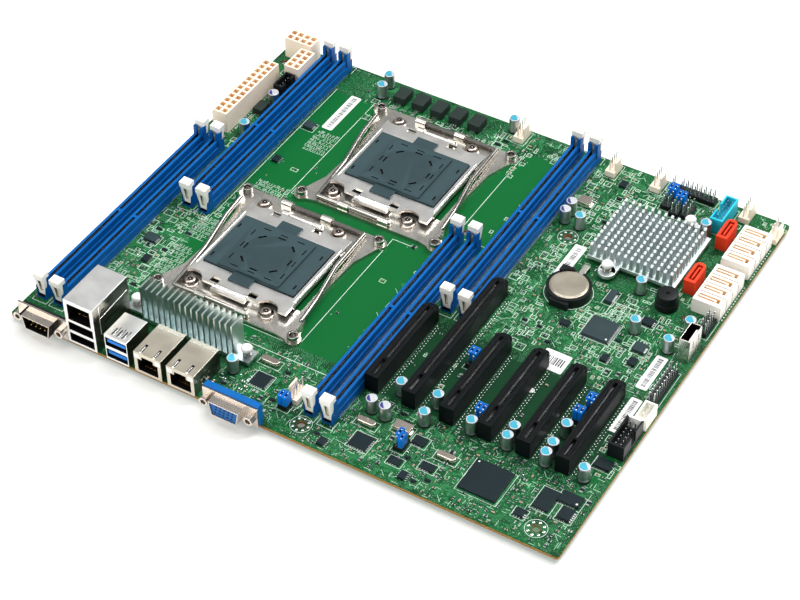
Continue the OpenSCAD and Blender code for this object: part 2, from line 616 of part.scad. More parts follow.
module shrouded_headers() {
  color("#31c3d6") difference() {
    shroud(269.9, 229.3, 7, 20.3, 9);
    slab(269, 237.3, 4, 2.2, 4.4, 9);
  }
  color("#15181b") difference() {
    shroud(295.4, 65.2, 8.4, 20.4, 9);
    slab(302.4, 72.8, 3, 2.2, 4.6, 9);
  }
  color("#15181b") difference() {
    shroud(18.6, 207.8, 5.9, 12.9, 9.5);
    slab(23, 211.8, 4, 2.2, 4.6, 9);
  }
  color("#f1ece2") shroud(298, 87.2, 6.3, 12.2, 7.5);
}

// pin strip: plastic base with square posts, one column may be left out
module strip(s, tall = 8.4) {
  slab(s[0], s[1], 0, s[2] * pin_pitch, s[3] * pin_pitch, 2.5);
  for (i = [0 : s[2] - 1], j = [0 : s[3] - 1]) if (i != s[4])
    slab(s[0] + (i + 0.5) * pin_pitch - 0.32, s[1] + (j + 0.5) * pin_pitch - 0.32, 2.5 - eps,
      0.64, 0.64, tall - 2.5);
}

module pin_headers() color("#1a1c1e") for (s = strips) strip(s);

module fan_header() {
  cube([5.6, 10.2, 3.4]);
  translate([4.6, 1.8, 3.4 - eps]) cube([1, 6.4, 5.6]);
  for (j = [0 : 3]) translate([2, 0.9 + j * pin_pitch, 3.4 - eps]) cube([0.64, 0.64, 7.6]);
}

module fan_headers() color("#efd9c3") for (p = fan_xy)
  at(p[0] + p[2] * 5.6, p[1] + p[2] * 10.2) rotate([0, 0, 180 * p[2]]) fan_header();

module usb_upright() color("#c9c3bd") {
  difference() {
    slab(296.2, 137.6, 0, 6, 13.4, 14);
    slab(296.8, 138.2, 3, 4.8, 12.2, 12);
  }
  slab(300, 139.2, 3 - eps, 1.2, 10.2, 9);
}

module jumper_caps() color("#1760c4") for (k = jumper_on) {
  x = strips[k[0]][0] + (k[1] + 0.5) * pin_pitch;
  y = strips[k[0]][1] + (k[2] + 1) * pin_pitch;
  difference() {
    slab(x - 1.15, y - 2.5, 2.6, 2.3, 5, 6);
    slab(x - 0.7, y - 1.9, 2, 1.4, 3.8, 7);
  }
}

module capacitors() color("#b9bec2") for (p = cap_xy) at(p[0], p[1]) {
  cylinder(r = cap_d / 2 + 0.2, h = 0.7);
  cylinder(r = cap_d / 2 - 0.05, h = cap_h, $fn = 24);
}

module chokes() color("#2b2e30") {
  for (i = [0 : 4]) slab(choke_x0 + i * choke_pitch, 237, 0.4, choke_w, 10, 4.8);
  slab(16.4, 190.4, 0.3, 5.6, 8.4, 4);
}

module chips() color("#24282b") for (c = chip_boxes) slab(c[0], c[1], 0.15, c[2], c[3], c[4] - 0.15);

module crystal_can() for (s = [-1, 1]) translate([s * 3.2, 0, 0]) cylinder(r = 1.9, h = 2.6);

module crystals() color("#c2b8ad") for (p = [[129.5, 36.6], [190, 26], [233, 26]]) at(p[0], p[1]) {
  crystal_can();
  translate([-3.2, -1.9, 0]) cube([6.4, 3.8, 2.6]);
}

pcb();
dimm_sockets();
latch_1n();
latch_1f();
latch_2n();
latch_2f();
latch_3n();
latch_3f();
latch_4n();
latch_4f();
latch_5n();
latch_5f();
latch_6n();
latch_6f();
latch_7n();
latch_7f();
latch_8n();
latch_8f();
cpu_sockets();
ilm_frames();
ilm_backplates();
load_plate_a();
lever_left_a();
lever_right_a();
cover_a();
load_plate_b();
lever_left_b();
lever_right_b();
cover_b();
ilm_screws();
cooler_studs();
slots_short();
slot_long();
power_main();
power_cpu();
serial_shell();
serial_insert();
lan_usb_stack();
usb3_stack();
lan_ports();
vga_shell();
vga_body();
fin_heatsink();
pin_heatsink();
push_pins();
battery_holder();
battery_contact();
coin_cell();
buzzer();
sata_white();
sata_orange();
shrouded_headers();
pin_headers();
fan_headers();
usb_upright();
jumper_caps();
capacitors();
chokes();
chips();
crystals();
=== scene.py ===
import math
import random

import bpy
import numpy as np
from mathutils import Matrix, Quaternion, Vector


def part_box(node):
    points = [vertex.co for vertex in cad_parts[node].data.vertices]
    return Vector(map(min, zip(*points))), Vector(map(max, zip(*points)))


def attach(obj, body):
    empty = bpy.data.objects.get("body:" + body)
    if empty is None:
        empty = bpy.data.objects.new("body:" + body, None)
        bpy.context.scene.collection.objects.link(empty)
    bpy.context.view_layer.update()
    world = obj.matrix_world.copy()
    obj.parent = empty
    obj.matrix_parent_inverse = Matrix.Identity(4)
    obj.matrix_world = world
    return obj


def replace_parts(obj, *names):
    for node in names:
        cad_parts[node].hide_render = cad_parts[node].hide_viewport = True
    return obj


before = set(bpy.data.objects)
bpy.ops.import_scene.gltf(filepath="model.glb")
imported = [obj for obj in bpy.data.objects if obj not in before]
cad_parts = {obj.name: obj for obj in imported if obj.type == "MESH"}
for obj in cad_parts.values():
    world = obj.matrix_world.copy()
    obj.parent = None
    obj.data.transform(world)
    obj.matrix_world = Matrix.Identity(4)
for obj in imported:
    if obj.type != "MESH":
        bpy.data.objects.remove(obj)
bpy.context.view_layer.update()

# The two-socket motherboard: looks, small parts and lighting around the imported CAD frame.
# Places on the board are millimetres from its rear left corner, heights are above its top face.

MM = 0.001
BOARD_LO, BOARD_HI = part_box("pcb")
ORIGIN = Vector((BOARD_LO.x, BOARD_LO.y, BOARD_HI.z))
BOARD_L = (BOARD_HI.x - BOARD_LO.x) / MM
BOARD_W = (BOARD_HI.y - BOARD_LO.y) / MM
# pitches of header pins, chip legs, memory contacts, power pins, data ports and jack contacts
PIN_PITCH = 2.54
LEG_PITCH = 1.27
MEMORY_PITCH = 0.85
POWER_PITCH = 4.2
PORT_PITCH = 7
JACK_PITCH = 1.02
# heights of printing and of tracks
HAIR = 0.03
FILM = 0.02
rng = random.Random(20)


def row(p):
    """A board point in row metres."""
    return ORIGIN + Vector(p) * MM


def board(v):
    """A row point in board millimetres."""
    return (Vector(v) - ORIGIN) / MM


# ---------------------------------------------------------------- frame queries

def solid_boxes(node):
    """Board boxes (lo, hi) of the separate solids in a CAD node, sorted by x then y."""
    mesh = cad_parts[node].data
    keys = {}
    owner = []
    for v in mesh.vertices:
        key = tuple(round(c * 1e6) for c in v.co)
        owner.append(keys.setdefault(key, len(keys)))
    root = list(range(len(keys)))

    def find(i):
        while root[i] != i:
            root[i] = root[root[i]]
            i = root[i]
        return i

    for poly in mesh.polygons:
        first = find(owner[poly.vertices[0]])
        for i in poly.vertices[1:]:
            root[find(owner[i])] = first
    boxes = {}
    for v, k in zip(mesh.vertices, owner):
        p = board(v.co)
        lo, hi = boxes.setdefault(find(k), (p.copy(), p.copy()))
        for axis in range(3):
            lo[axis] = min(lo[axis], p[axis])
            hi[axis] = max(hi[axis], p[axis])
    return sorted(boxes.values(), key=lambda b: (round(b[0].x, 1), round(b[0].y, 1)))


def node_box(node):
    lo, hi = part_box(node)
    return board(lo), board(hi)


DIMMS = solid_boxes("dimm_sockets")
SLOTS = sorted(solid_boxes("slots_short") + solid_boxes("slot_long"), key=lambda b: b[0].x)


def middle(box):
    return (box[0] + box[1]) / 2


def nearest(p, boxes):
    return min(boxes, key=lambda b: (middle(b).xy - p.xy).length)


def inside(p, box, gap):
    """True when a point is deeper than gap inside a box, seen from above."""
    lo, hi = box
    return all(lo[i] + gap < p[i] < hi[i] - gap for i in (0, 1))


# ---------------------------------------------------------------- shapes

def run(start, pitch, count):
    """Evenly spaced places."""
    return [start + pitch * k for k in range(count)]


def circle(x, y, r, steps):
    """Points around a circle."""
    return [(x + r * math.cos(a), y + r * math.sin(a)) for a in run(0, 2 * math.pi / steps, steps)]


def link(name, data):
    """A new object in the scene."""
    thing = bpy.data.objects.new(name, data)
    bpy.context.scene.collection.objects.link(thing)
    return thing


class Shape:
    """Closed forms gathered in board millimetres, each face with a paint number."""

    def __init__(self):
        self.points = []
        self.faces = []
        self.paints = []

    def skin(self, rows, paints, closed=False):
        """Bands of faces through rows of points, one paint a row; the ends get caps unless it is closed."""
        b = len(self.points)
        n = len(rows[0])
        for points in rows:
            self.points += points
        starts = run(b, n, len(rows))
        ends = starts[1:] + starts[:closed]
        for lo, hi, paint in zip(starts, ends, paints):
            self.faces += [(lo + i, lo + (i + 1) % n, hi + (i + 1) % n, hi + i) for i in range(n)]
            self.paints += [paint] * n
        if not closed:
            self.faces += [tuple(range(b + n - 1, b - 1, -1)), tuple(range(starts[-1], starts[-1] + n))]
            self.paints += [paints[0], paints[-1]]

    def prism(self, outline, z0, z1, paint=0, shrink=1.0):
        """Upright form over an outline, with its top drawn in by shrink."""
        cx, cy = (sum(p[axis] for p in outline) / len(outline) for axis in (0, 1))
        top = [(cx + (x - cx) * shrink, cy + (y - cy) * shrink, z1) for x, y in outline]
        self.skin([[(x, y, z0) for x, y in outline], top], [paint] * 2)

    def box(self, x, y, z, sx, sy, sz, paint=0, shrink=1.0):
        self.prism([(x, y), (x + sx, y), (x + sx, y + sy), (x, y + sy)], z, z + sz, paint, shrink)

    def lay(self, upright, along, across, z, length, width, height, paint=0):
        """Box that runs along x, or along y when upright."""
        if upright:
            self.box(across, along, z, width, length, height, paint)
        else:
            self.box(along, across, z, length, width, height, paint)

    def bar(self, p, q, width, height=HAIR):
        """Flat strip between two points on the board's face."""
        (x0, y0), (x1, y1) = p, q
        n = Vector((y0 - y1, x1 - x0)).normalized() * width / 2
        outline = [(x0 - n.x, y0 - n.y), (x1 - n.x, y1 - n.y), (x1 + n.x, y1 + n.y), (x0 + n.x, y0 + n.y)]
        self.prism(outline, 0, height)

    def ring(self, x0, y0, x1, y1, width, z=0, height=HAIR, paint=0):
        """Rectangular outline."""
        for y in (y0, y1 - width):
            self.box(x0, y, z, x1 - x0, width, height, paint)
        for x in (x0, x1 - width):
            self.box(x, y0 + width, z, width, y1 - y0 - 2 * width, height, paint)

    def lathe(self, x, y, profile, steps=24, rear=None, closed=False):
        """Turned form. Profile is (radius, height) and, where not 0, the paint of the band that starts
        there. It stands up, or points to the rear at the height that rear gives."""
        rows = []
        for r, z, *_ in profile:
            if rear is None:
                rows.append([(px, py, z) for px, py in circle(x, y, r, steps)])
            else:
                rows.append([(px, y - z, pz) for px, pz in circle(x, rear, r, steps)])
        self.skin(rows, [point[2] if len(point) > 2 else 0 for point in profile], closed)

    def annulus(self, x, y, r0, r1, height=HAIR, steps=32, paint=0):
        """Flat ring around a hole."""
        profile = [(r0, 0, paint), (r1, 0, paint), (r1, height, paint), (r0, height, paint)]
        self.lathe(x, y, profile, steps, closed=True)

    def tube(self, path, r, sides):
        """Round wire along a path of board points."""
        path = [Vector(p) for p in path]
        rows = []
        for k, p in enumerate(path):
            ahead = path[min(k + 1, len(path) - 1)] - path[max(k - 1, 0)]
            turn = ahead.to_track_quat("Z", "Y")
            rows.append([tuple(p + turn @ Vector((*q, 0))) for q in circle(0, 0, r, sides)])
        self.skin(rows, [0] * len(path))

    def piece(self, name, looks, body="board", bevel=0.0, smooth=False):
        """The finished Blender piece, in row metres, riding on a body."""
        mesh = bpy.data.meshes.new(name)
        mesh.from_pydata([tuple(row(p)) for p in self.points], [], self.faces)
        for look in looks:
            mesh.materials.append(LOOKS[look])
        mesh.polygons.foreach_set("material_index", self.paints)
        mesh.polygons.foreach_set("use_smooth", [smooth or bevel > 0] * len(self.faces))
        mesh.update()
        piece = link(name, mesh)
        if bevel or smooth:
            soften(piece, bevel)
        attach(piece, body)
        return piece


def soften(piece, width):
    """Rounds a piece's edges by width millimetres and evens its shading."""
    if width:
        bevel = piece.modifiers.new("rounded_edges", "BEVEL")
        bevel.width = width * MM
        bevel.segments = 2
        bevel.limit_method = "ANGLE"
        bevel.angle_limit = math.radians(35)
    piece.modifiers.new("normals", "WEIGHTED_NORMAL")


# ---------------------------------------------------------------- materials

LOOKS = {}


class Shader:
    """Small helper around one material's node tree."""

    def __init__(self, name, slot):
        self.mat = bpy.data.materials.new(name)
        self.mat.use_nodes = True
        self.tree = self.mat.node_tree
        self.bsdf = self.tree.nodes["Principled BSDF"]
        LOOKS[name] = self.mat
        scale = self.add("VectorMath", operation="SCALE")
        self.join(self.add("TexCoord").outputs["Object"], scale.inputs[0])
        scale.inputs["Scale"].default_value = 1 / MM
        self.place = scale.outputs[0]

    def add(self, kind, **settings):
        node = self.tree.nodes.new("ShaderNode" + kind)
        for key, value in settings.items():
            setattr(node, key, value)
        return node

    def join(self, value, socket):
        """Links an output, or sets a number or colour."""
        if hasattr(value, "is_linked"):
            self.tree.links.new(value, socket)
        else:
            socket.default_value = value

    def reach(self):
        """Distance in millimetres from the frame's origin."""
        node = self.add("VectorMath", operation="LENGTH")
        self.join(self.place, node.inputs[0])
        return node.outputs["Value"]

    def math(self, operation, a, b=0.0):
        node = self.add("Math", operation=operation)
        self.join(a, node.inputs[0])
        self.join(b, node.inputs[1])
        return node.outputs[0]

    def times(self, a, b):
        return self.math("MULTIPLY", a, b)

    def split(self, vector):
        """The x, y and z of a vector."""
        node = self.add("SeparateXYZ")
        self.join(vector, node.inputs[0])
        return node.outputs

    def noise(self, scale, detail=3.0, stretch=None):
        """Noise value; scale is in features per millimetre."""
        place = self.place
        if stretch:
            node = self.add("VectorMath", operation="MULTIPLY")
            self.join(place, node.inputs[0])
            node.inputs[1].default_value = stretch
            place = node.outputs[0]
        node = self.add("TexNoise")
        node.inputs["Scale"].default_value = scale
        node.inputs["Detail"].default_value = detail
        self.join(place, node.inputs["Vector"])
        return node.outputs["Fac"]

    def cells(self, scale, distance="EUCLIDEAN"):
        """Flat cells: their random colours and the distance to their middles."""
        node = self.add("TexVoronoi", voronoi_dimensions="2D", distance=distance)
        node.inputs["Scale"].default_value = scale
        self.join(self.place, node.inputs["Vector"])
        return node.outputs

    def remap(self, value, lo, hi, out_lo=0, out_hi=1):
        node = self.add("MapRange")
        self.join(value, node.inputs["Value"])
        for key, number in (("From Min", lo), ("From Max", hi), ("To Min", out_lo), ("To Max", out_hi)):
            node.inputs[key].default_value = number
        return node.outputs["Result"]

    def mix(self, factor, a, b):
        node = self.add("Mix", data_type="RGBA")
        self.join(factor, node.inputs["Factor"])
        self.join(a, node.inputs[6])
        self.join(b, node.inputs[7])
        return node.outputs[2]

    def rubbed_and_lit_edges(self):
        """1 on convex edges, 0 on flats: where edges are painted paler, partly for wear and partly as
        painted highlight.
        """
        return self.remap(self.add("NewGeometry").outputs["Pointiness"], 0.52, 0.60)

    def relief(self, height, strength, distance):
        """Bump of the surface; distance is in millimetres."""
        node = self.add("Bump")
        node.inputs["Strength"].default_value = strength
        node.inputs["Distance"].default_value = distance * MM
        self.join(height, node.inputs["Height"])
        self.join(node.outputs["Normal"], self.bsdf.inputs["Normal"])

    def finish(self, colour, rough, metal=0.0, spec=0.5):
        self.join(colour, self.bsdf.inputs["Base Color"])
        self.join(rough, self.bsdf.inputs["Roughness"])
        self.join(metal, self.bsdf.inputs["Metallic"])
        self.join(spec, self.bsdf.inputs["Specular IOR Level"])


def rgb(*levels):
    """Linear colour from display values 0 to 255."""
    shares = [c / 255 for c in levels]
    return (*(c / 12.92 if c <= 0.04045 else ((c + 0.055) / 1.055) ** 2.4 for c in shares), 1.0)


def shade(colour, gain):
    return tuple(min(1.0, c * gain) for c in colour[:3]) + (1.0,)


def mottled(s, colour, mottle, pattern):
    """A display colour, darker and lighter in soft patches."""
    colour = rgb(*colour)
    return s.mix(pattern, shade(colour, 1 - mottle), shade(colour, 1 + mottle))


def plastic(name, slot, colour, rough=0.42, grain=0.25, mottle=0.10, edge_rub_and_highlight=0.25, spec=0.2):
    """Moulded plastic: fine texture, slight mottling, paler edges that are partly wear and partly painted
    highlight.
    """
    s = Shader(name, slot)
    base = mottled(s, colour, mottle, s.remap(s.noise(0.12, 4), 0.35, 0.65))
    # painted highlight and wear: convex edges lightened up to 1.9 times
    base = s.mix(s.times(s.rubbed_and_lit_edges(), edge_rub_and_highlight), base, shade(rgb(*colour), 1.9))
    fine = s.noise(5.0, 2)
    s.relief(fine, grain, 0.05)
    s.finish(base, s.remap(fine, 0.3, 0.7, rough - 0.07, rough + 0.07), spec=spec)


def metal(name, slot, colour, rough=0.3, brush=None, grain=0.05, mottle=0.05):
    """Plated or bare metal: brushed relief, smudges that change the gloss, brighter edges that are partly
    wear and partly painted highlight.
    """
    s = Shader(name, slot)
    smudge = s.noise(0.10, 5)
    base = mottled(s, colour, mottle, s.remap(smudge, 0.38, 0.62))
    # painted highlight and wear: convex edges lightened up to 1.5 times
    base = s.mix(s.times(s.rubbed_and_lit_edges(), 0.5), base, shade(rgb(*colour), 1.5))
    lines = s.noise(3.0, 3, brush)
    s.relief(lines, grain, 0.05)
    gloss = s.remap(smudge, 0.3, 0.7, rough - 0.04, rough + 0.05)
    s.finish(base, s.math("ADD", gloss, s.remap(lines, 0.3, 0.7, -0.03, 0.03)), 1.0)


def zone(s, x0, y0, x1, y1):
    """1 inside a board rectangle, else 0."""
    place = s.split(s.place)
    shift = ORIGIN / MM
    inside = 1.0
    for axis, lo, hi in ((0, x0, x1), (1, y0, y1)):
        inside = s.times(inside, s.math("GREATER_THAN", place[axis], lo + shift[axis]))
        inside = s.times(inside, s.math("LESS_THAN", place[axis], hi + shift[axis]))
    return inside


# areas left without tracks: around the processors and below the card slots
PLAIN_ZONES = [(44.5, 52, 162, 230), (162, 150, 182, 236), (185, 46, 300, 98), (46, 36, 112, 52)]
# painted shade: darker lacquer on the board between the card slots, where they shade it
SLOT_SHADE_ZONE = (176, 40, 296, 102)


def track_pattern(s, cells):
    """1 on short parallel tracks whose direction, in 45 degree steps, changes from cell to cell."""
    pitch, length = 0.9, 6.5
    turn = s.add("VectorRotate", rotation_type="Z_AXIS")
    s.join(s.place, turn.inputs["Vector"])
    s.join(s.times(s.math("FLOOR", s.times(cells[0], 4.0)), math.radians(45)), turn.inputs["Angle"])
    across, along, _ = s.split(turn.outputs[0])
    ridge = s.math("LESS_THAN", s.math("FRACT", s.times(across, 1 / pitch)), 0.34)
    broken = s.math("LESS_THAN", s.math("FRACT", s.times(along, 1 / length)), 0.86)
    return s.times(s.times(ridge, broken), s.math("GREATER_THAN", cells[1], 0.3))


def solder_mask():
    """Green lacquer over copper, with paler tracks and plated holes outside the plain areas, and painted
    shade between the card slots.
    """
    s = Shader("solder_mask", "board_laminate")
    parts = s.add("SeparateColor")
    s.join(s.cells(0.15, "CHEBYCHEV")["Color"], parts.inputs[0])
    crowded = s.remap(parts.outputs[2], 0.36, 0.37, 0.25)
    plain = 0.0
    for box in PLAIN_ZONES:
        plain = s.math("MAXIMUM", plain, zone(s, *box))
    printed = s.math("SUBTRACT", 1.0, plain)
    tracks = s.times(s.times(track_pattern(s, parts.outputs), crowded), printed)
    vias = s.times(s.math("LESS_THAN", s.cells(0.62)["Distance"], 0.15), printed)
    pour = s.math("GREATER_THAN", s.noise(0.11, 2), 0.5)
    lacquer = s.mix(s.times(pour, 0.25), rgb(6, 64, 31), rgb(18, 98, 50))
    lacquer = s.mix(crowded, rgb(10, 88, 42), lacquer)
    lacquer = s.mix(plain, lacquer, rgb(2, 95, 42))
    # painted shade between the card slots
    lacquer = s.mix(zone(s, *SLOT_SHADE_ZONE), lacquer, rgb(7, 60, 32))
    colour = s.mix(s.times(tracks, 0.36), lacquer, rgb(92, 172, 118))
    colour = s.mix(s.times(vias, 0.38), colour, rgb(140, 182, 150))
    upright = s.split(s.add("NewGeometry").outputs["True Normal"])[2]
    edge = s.math("LESS_THAN", s.math("ABSOLUTE", upright), 0.5)
    fibre = s.mix(s.noise(1.2, 2, (0.3, 0.3, 4)), rgb(176, 118, 44), rgb(232, 178, 96))
    colour = s.mix(edge, colour, fibre)
    s.relief(s.math("ADD", tracks, s.times(s.noise(2.5, 2), 0.3)), 0.35, 0.04)
    s.finish(colour, s.remap(s.noise(0.3, 3), 0.3, 0.7, 0.38, 0.5), spec=0.14)


def paper_label():
    """Slightly uneven white paper."""
    s = Shader("label_paper", "white_plastic")
    tone = s.noise(0.8, 3)
    s.relief(s.noise(7.0, 2), 0.1, 0.03)
    s.finish(s.mix(tone, rgb(228, 228, 226), rgb(250, 250, 249)), 0.5)


def can_top(name, colour):
    """Printed aluminium top of a capacitor can."""
    s = Shader(name, "bare_aluminium")
    ink = s.remap(s.noise(1.5, 3), 0.3, 0.7)
    s.relief(s.noise(6.0, 2), 0.08, 0.03)
    s.finish(s.mix(ink, shade(rgb(*colour), 0.88), shade(rgb(*colour), 1.1)), 0.34, 0.35)


def make_looks():
    """Every look by name: its slot in the record (not used), display colour, roughness and finer settings.
    """
    solder_mask()
    plastic("blue", "blue_plastic", (1, 87, 158), 0.46, mottle=0.06, edge_rub_and_highlight=0.1, spec=0.14)
    plastic("video_blue", "blue_plastic", (6, 90, 158), 0.36, mottle=0.06)
    plastic("usb_blue", "blue_plastic", (14, 118, 215), 0.35)
    plastic("jumper_blue", "blue_plastic", (3, 112, 208), 0.38)
    plastic("cream", "cream_plastic", (255, 251, 242), 0.40, mottle=0.02, edge_rub_and_highlight=0.1)
    plastic("connector_cream", "cream_plastic", (255, 235, 214), 0.42, mottle=0.03, edge_rub_and_highlight=0.1)
    # painted shade: darker, warmer tan for the insides of socket and port wells
    plastic("well_shade_tan", "cream_plastic", (255, 214, 170), 0.5)
    # painted shadow: dark tan for grooves and gaps in cream and ivory plastic
    plastic("groove_shadow_tan", "cream_plastic", (92, 70, 48), 0.6)
    plastic("rib_tan", "cream_plastic", (206, 192, 166), 0.5)
    plastic("black", "black_plastic", (18, 21, 23), 0.38, edge_rub_and_highlight=0.5)
    # painted highlight: the strongest edge lightening, for the slots' thin bright top edges
    plastic("slot_black", "black_plastic", (6, 10, 12), 0.42, edge_rub_and_highlight=1.0, spec=0.12)
    # painted shade: near-black for holes, slits, recesses and the insides of slots and jacks
    plastic("recess_shade_black", "black_plastic", (5, 5, 6), 0.6)
    plastic("chip_black", "black_plastic", (17, 30, 34), 0.34, grain=0.35, edge_rub_and_highlight=0.4)
    plastic("chip_grey", "black_plastic", (42, 56, 59), 0.34, grain=0.35, edge_rub_and_highlight=0.3)
    plastic("choke_black", "black_plastic", (32, 42, 39), 0.5, grain=0.4, edge_rub_and_highlight=0.5)
    plastic("slate", "slate_plastic", (47, 64, 68), 0.42, grain=0.3, mottle=0.05, edge_rub_and_highlight=0.35)
    plastic("white", "white_plastic", (250, 248, 244), 0.38, mottle=0.02, edge_rub_and_highlight=0.05)
    plastic("sata_ivory", "white_plastic", (254, 247, 238), 0.38, mottle=0.02, edge_rub_and_highlight=0.05)
    plastic("orange", "orange_plastic", (236, 62, 34), 0.36, mottle=0.05, edge_rub_and_highlight=0.3)
    # painted shade: darker orange for the insides of the orange ports
    plastic("well_shade_orange", "orange_plastic", (206, 56, 32), 0.5)
    plastic("cyan", "blue_plastic", (40, 178, 204), 0.36, mottle=0.05, edge_rub_and_highlight=0.3)
    plastic("resistor_brown", "black_plastic", (112, 62, 42), 0.4)
    plastic("ceramic_tan", "cream_plastic", (160, 118, 84), 0.45)
    plastic("silk", "white_plastic", (186, 222, 194), 0.55, grain=0.1, edge_rub_and_highlight=0)
    plastic("silk_white", "white_plastic", (226, 240, 230), 0.55, grain=0.1, edge_rub_and_highlight=0)
    plastic("track_green", "board_laminate", (50, 134, 80), 0.36, edge_rub_and_highlight=0)
    plastic("print_black", "black_plastic", (28, 28, 30), 0.6, edge_rub_and_highlight=0)
    # painted shade: the frames' nickel is kept darker than the same plating on the load plates, for the
    # shade where the frames lie under the plates
    metal("nickel", "nickel_steel", (202, 198, 190), 0.28, (1, 0.12, 1), 0.01)
    metal("plate_nickel", "nickel_steel", (238, 233, 225), 0.31, (0.12, 1, 1), 0.01, 0.04)
    metal("port_steel", "nickel_steel", (240, 238, 233), 0.36, (1, 0.1, 1), 0.015, 0.03)
    metal("lan_steel", "nickel_steel", (196, 188, 172), 0.34, (1, 0.1, 1), 0.02)
    # painted shade and reflection: darker steel for the jacks' right sides, where they mirror the dark
    # board
    metal("side_shade_steel", "nickel_steel", (112, 110, 101), 0.3, (1, 0.1, 1), 0.02)
    metal("pink_nickel", "nickel_steel", (204, 194, 184), 0.22)
    metal("bright", "bright_steel", (240, 239, 236), 0.2, grain=0.02)
    metal("usb_steel", "bright_steel", (204, 200, 194), 0.26, (1, 1, 0.1), 0.02)
    metal("wire_steel", "bright_steel", (172, 168, 162), 0.2, grain=0.02)
    metal("screw_steel", "bright_steel", (196, 182, 172), 0.22, grain=0.02)
    metal("dark_steel", "backplate_steel", (120, 122, 124), 0.4)
    metal("aluminium", "bare_aluminium", (208, 214, 214), 0.5, (1, 1, 0.1), grain=0.1)
    # painted shade: a darker copy of the aluminium for the pins' sides and the base
    metal("pin_flank_shade", "bare_aluminium", (196, 204, 204), 0.5, (1, 1, 0.1), grain=0.1)
    metal("fin_metal", "bare_aluminium", (190, 200, 200), 0.34, (1, 1, 0.1), grain=0.1)
    metal("can_metal", "bare_aluminium", (176, 180, 182), 0.36)
    metal("solder", "bright_steel", (222, 224, 224), 0.24)
    metal("gold", "nickel_steel", (224, 178, 92), 0.25)
    metal("copper", "nickel_steel", (104, 68, 46), 0.4)
    metal("cell_steel", "bright_steel", (196, 187, 170), 0.32, (1, 0.08, 1))
    metal("crystal_can", "nickel_steel", (206, 194, 182), 0.22)
    can_top("can_silver", (208, 212, 216))
    can_top("can_cyan", (70, 178, 204))
    can_top("can_violet", (58, 58, 140))
    paper_label()


# ---------------------------------------------------------------- CAD nodes

HEADERS = solid_boxes("shrouded_headers")
SERIAL = middle(node_box("serial_insert"))
POWER_NODES = ("power_main", "power_cpu")
# nodes of one look, with the width of their soft edges
PLAIN_NODES = {
    "cpu_sockets": ("black", 0.15), "ilm_frames": ("nickel", 0.3), "ilm_backplates": ("dark_steel", 0.2),
    "cooler_studs": ("wire_steel", 0.3), "serial_insert": ("black", 0.1), "vga_shell": ("pink_nickel", 0.3),
    "vga_body": ("video_blue", 0.1), "fin_heatsink": ("fin_metal", 0.12), "battery_holder": ("black", 0.3),
    "battery_contact": ("nickel", 0.1), "coin_cell": ("cell_steel", 0.35), "chokes": ("choke_black", 0.3),
    "jumper_caps": ("jumper_blue", 0.2), "crystals": ("crystal_can", 0.5)}


def dress(node, looks, bevel=0.15, rule=None, merge=True):
    """Gives a CAD node its materials and soft edges; rule(centre, normal, solid's box) paints each face."""
    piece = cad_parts[node]
    mesh = piece.data
    mesh.materials.clear()
    for look in looks:
        mesh.materials.append(LOOKS[look])
    boxes = solid_boxes(node)
    for poly in mesh.polygons:
        p = board(poly.center)
        poly.material_index = int(rule(p, poly.normal, nearest(p, boxes))) if rule else 0
        poly.use_smooth = True
    if "custom_normal" in mesh.attributes:
        mesh.attributes.remove(mesh.attributes["custom_normal"])
    piece.modifiers.new("weld", "WELD").merge_threshold = 0.002 * MM
    if merge:
        flat = piece.modifiers.new("flats", "DECIMATE")
        flat.decimate_type = "DISSOLVE"
        flat.angle_limit = math.radians(1)
        flat.delimit = {"MATERIAL"}
    soften(piece, bevel)


# painted shade: black inside the slit of a memory socket
def memory_slit(p, n, box):
    off = min(abs(p.x - middle(b).x) for b in DIMMS)
    return off < 0.86 and p.z < 8.4 and abs(n.y) < 0.5


# painted shadow: dark tan on the walls of a latch's groove, paler rib_tan on the faces across it
def latch_groove(p, n, box):
    if not 4.9 < p.z < 12.4 or abs(p.x - middle(box).x) > 0.95:
        return 0
    return 2 if abs(n.y) > 0.9 else 1


def cover_cuts(p, n, box):
    """Painted shade: black in the dashes around a cover's middle, and on its tab ends."""
    mid = middle(box)
    near = abs(p.x - mid.x) < 17 and abs(p.y - mid.y + 1) < 17
    return near and -0.75 < p.z - box[1].z < -0.05 or n.z > 0.9 and abs(p.z - 6.4) < 0.05


# painted shade: black inside the slit of a card slot
def card_slit(p, n, box):
    return abs(p.x - middle(nearest(p, SLOTS)).x) < 0.95 and p.z < 10.9


# painted shade: the inside faces of a power socket's wells
def power_well(p, n, box):
    return inside(p, box, 0.5) and p.z < box[1].z - 0.1 and p.x > box[0].x + 0.9


# painted shade: the inside faces of a data port's wells
def data_well(wall):
    return lambda p, n, box: inside(p, box, wall) and 0.3 < p.z < box[1].z - 0.2


def jack_opening(p, n, box):
    """Painted shade: black on the inside of a rear jack, and darker steel on its right side."""
    if inside(p, box, 0.3) and box[0].z + 0.8 < p.z < box[1].z - 0.8:
        return 1
    return 2 if n.x > 0.9 and p.x > box[1].x - 0.2 else 0


def usb_openings(p, n, box):
    """Painted shade: black on the insides of two stacked jacks and darker steel on the right side; the
    tongues get their own blue.
    """
    up = p.z - box[0].z
    if not (inside(p, box, 0.25) and up > 0.8 and p.z < box[1].z - 0.8):
        return 3 if n.x > 0.9 and p.x > box[1].x - 0.2 else 0
    side = min(p.x - box[0].x, box[1].x - p.x)
    return 2 if side > 1.2 and (3.3 < up < 5.4 or 10.9 < up < 13) else 1


# painted shade: black on the inside of the serial port's shell
def serial_opening(p, n, box):
    return abs(p.x - SERIAL.x) < 8.3 and abs(p.z - 6.4) < 3.72 and p.y > -6.2


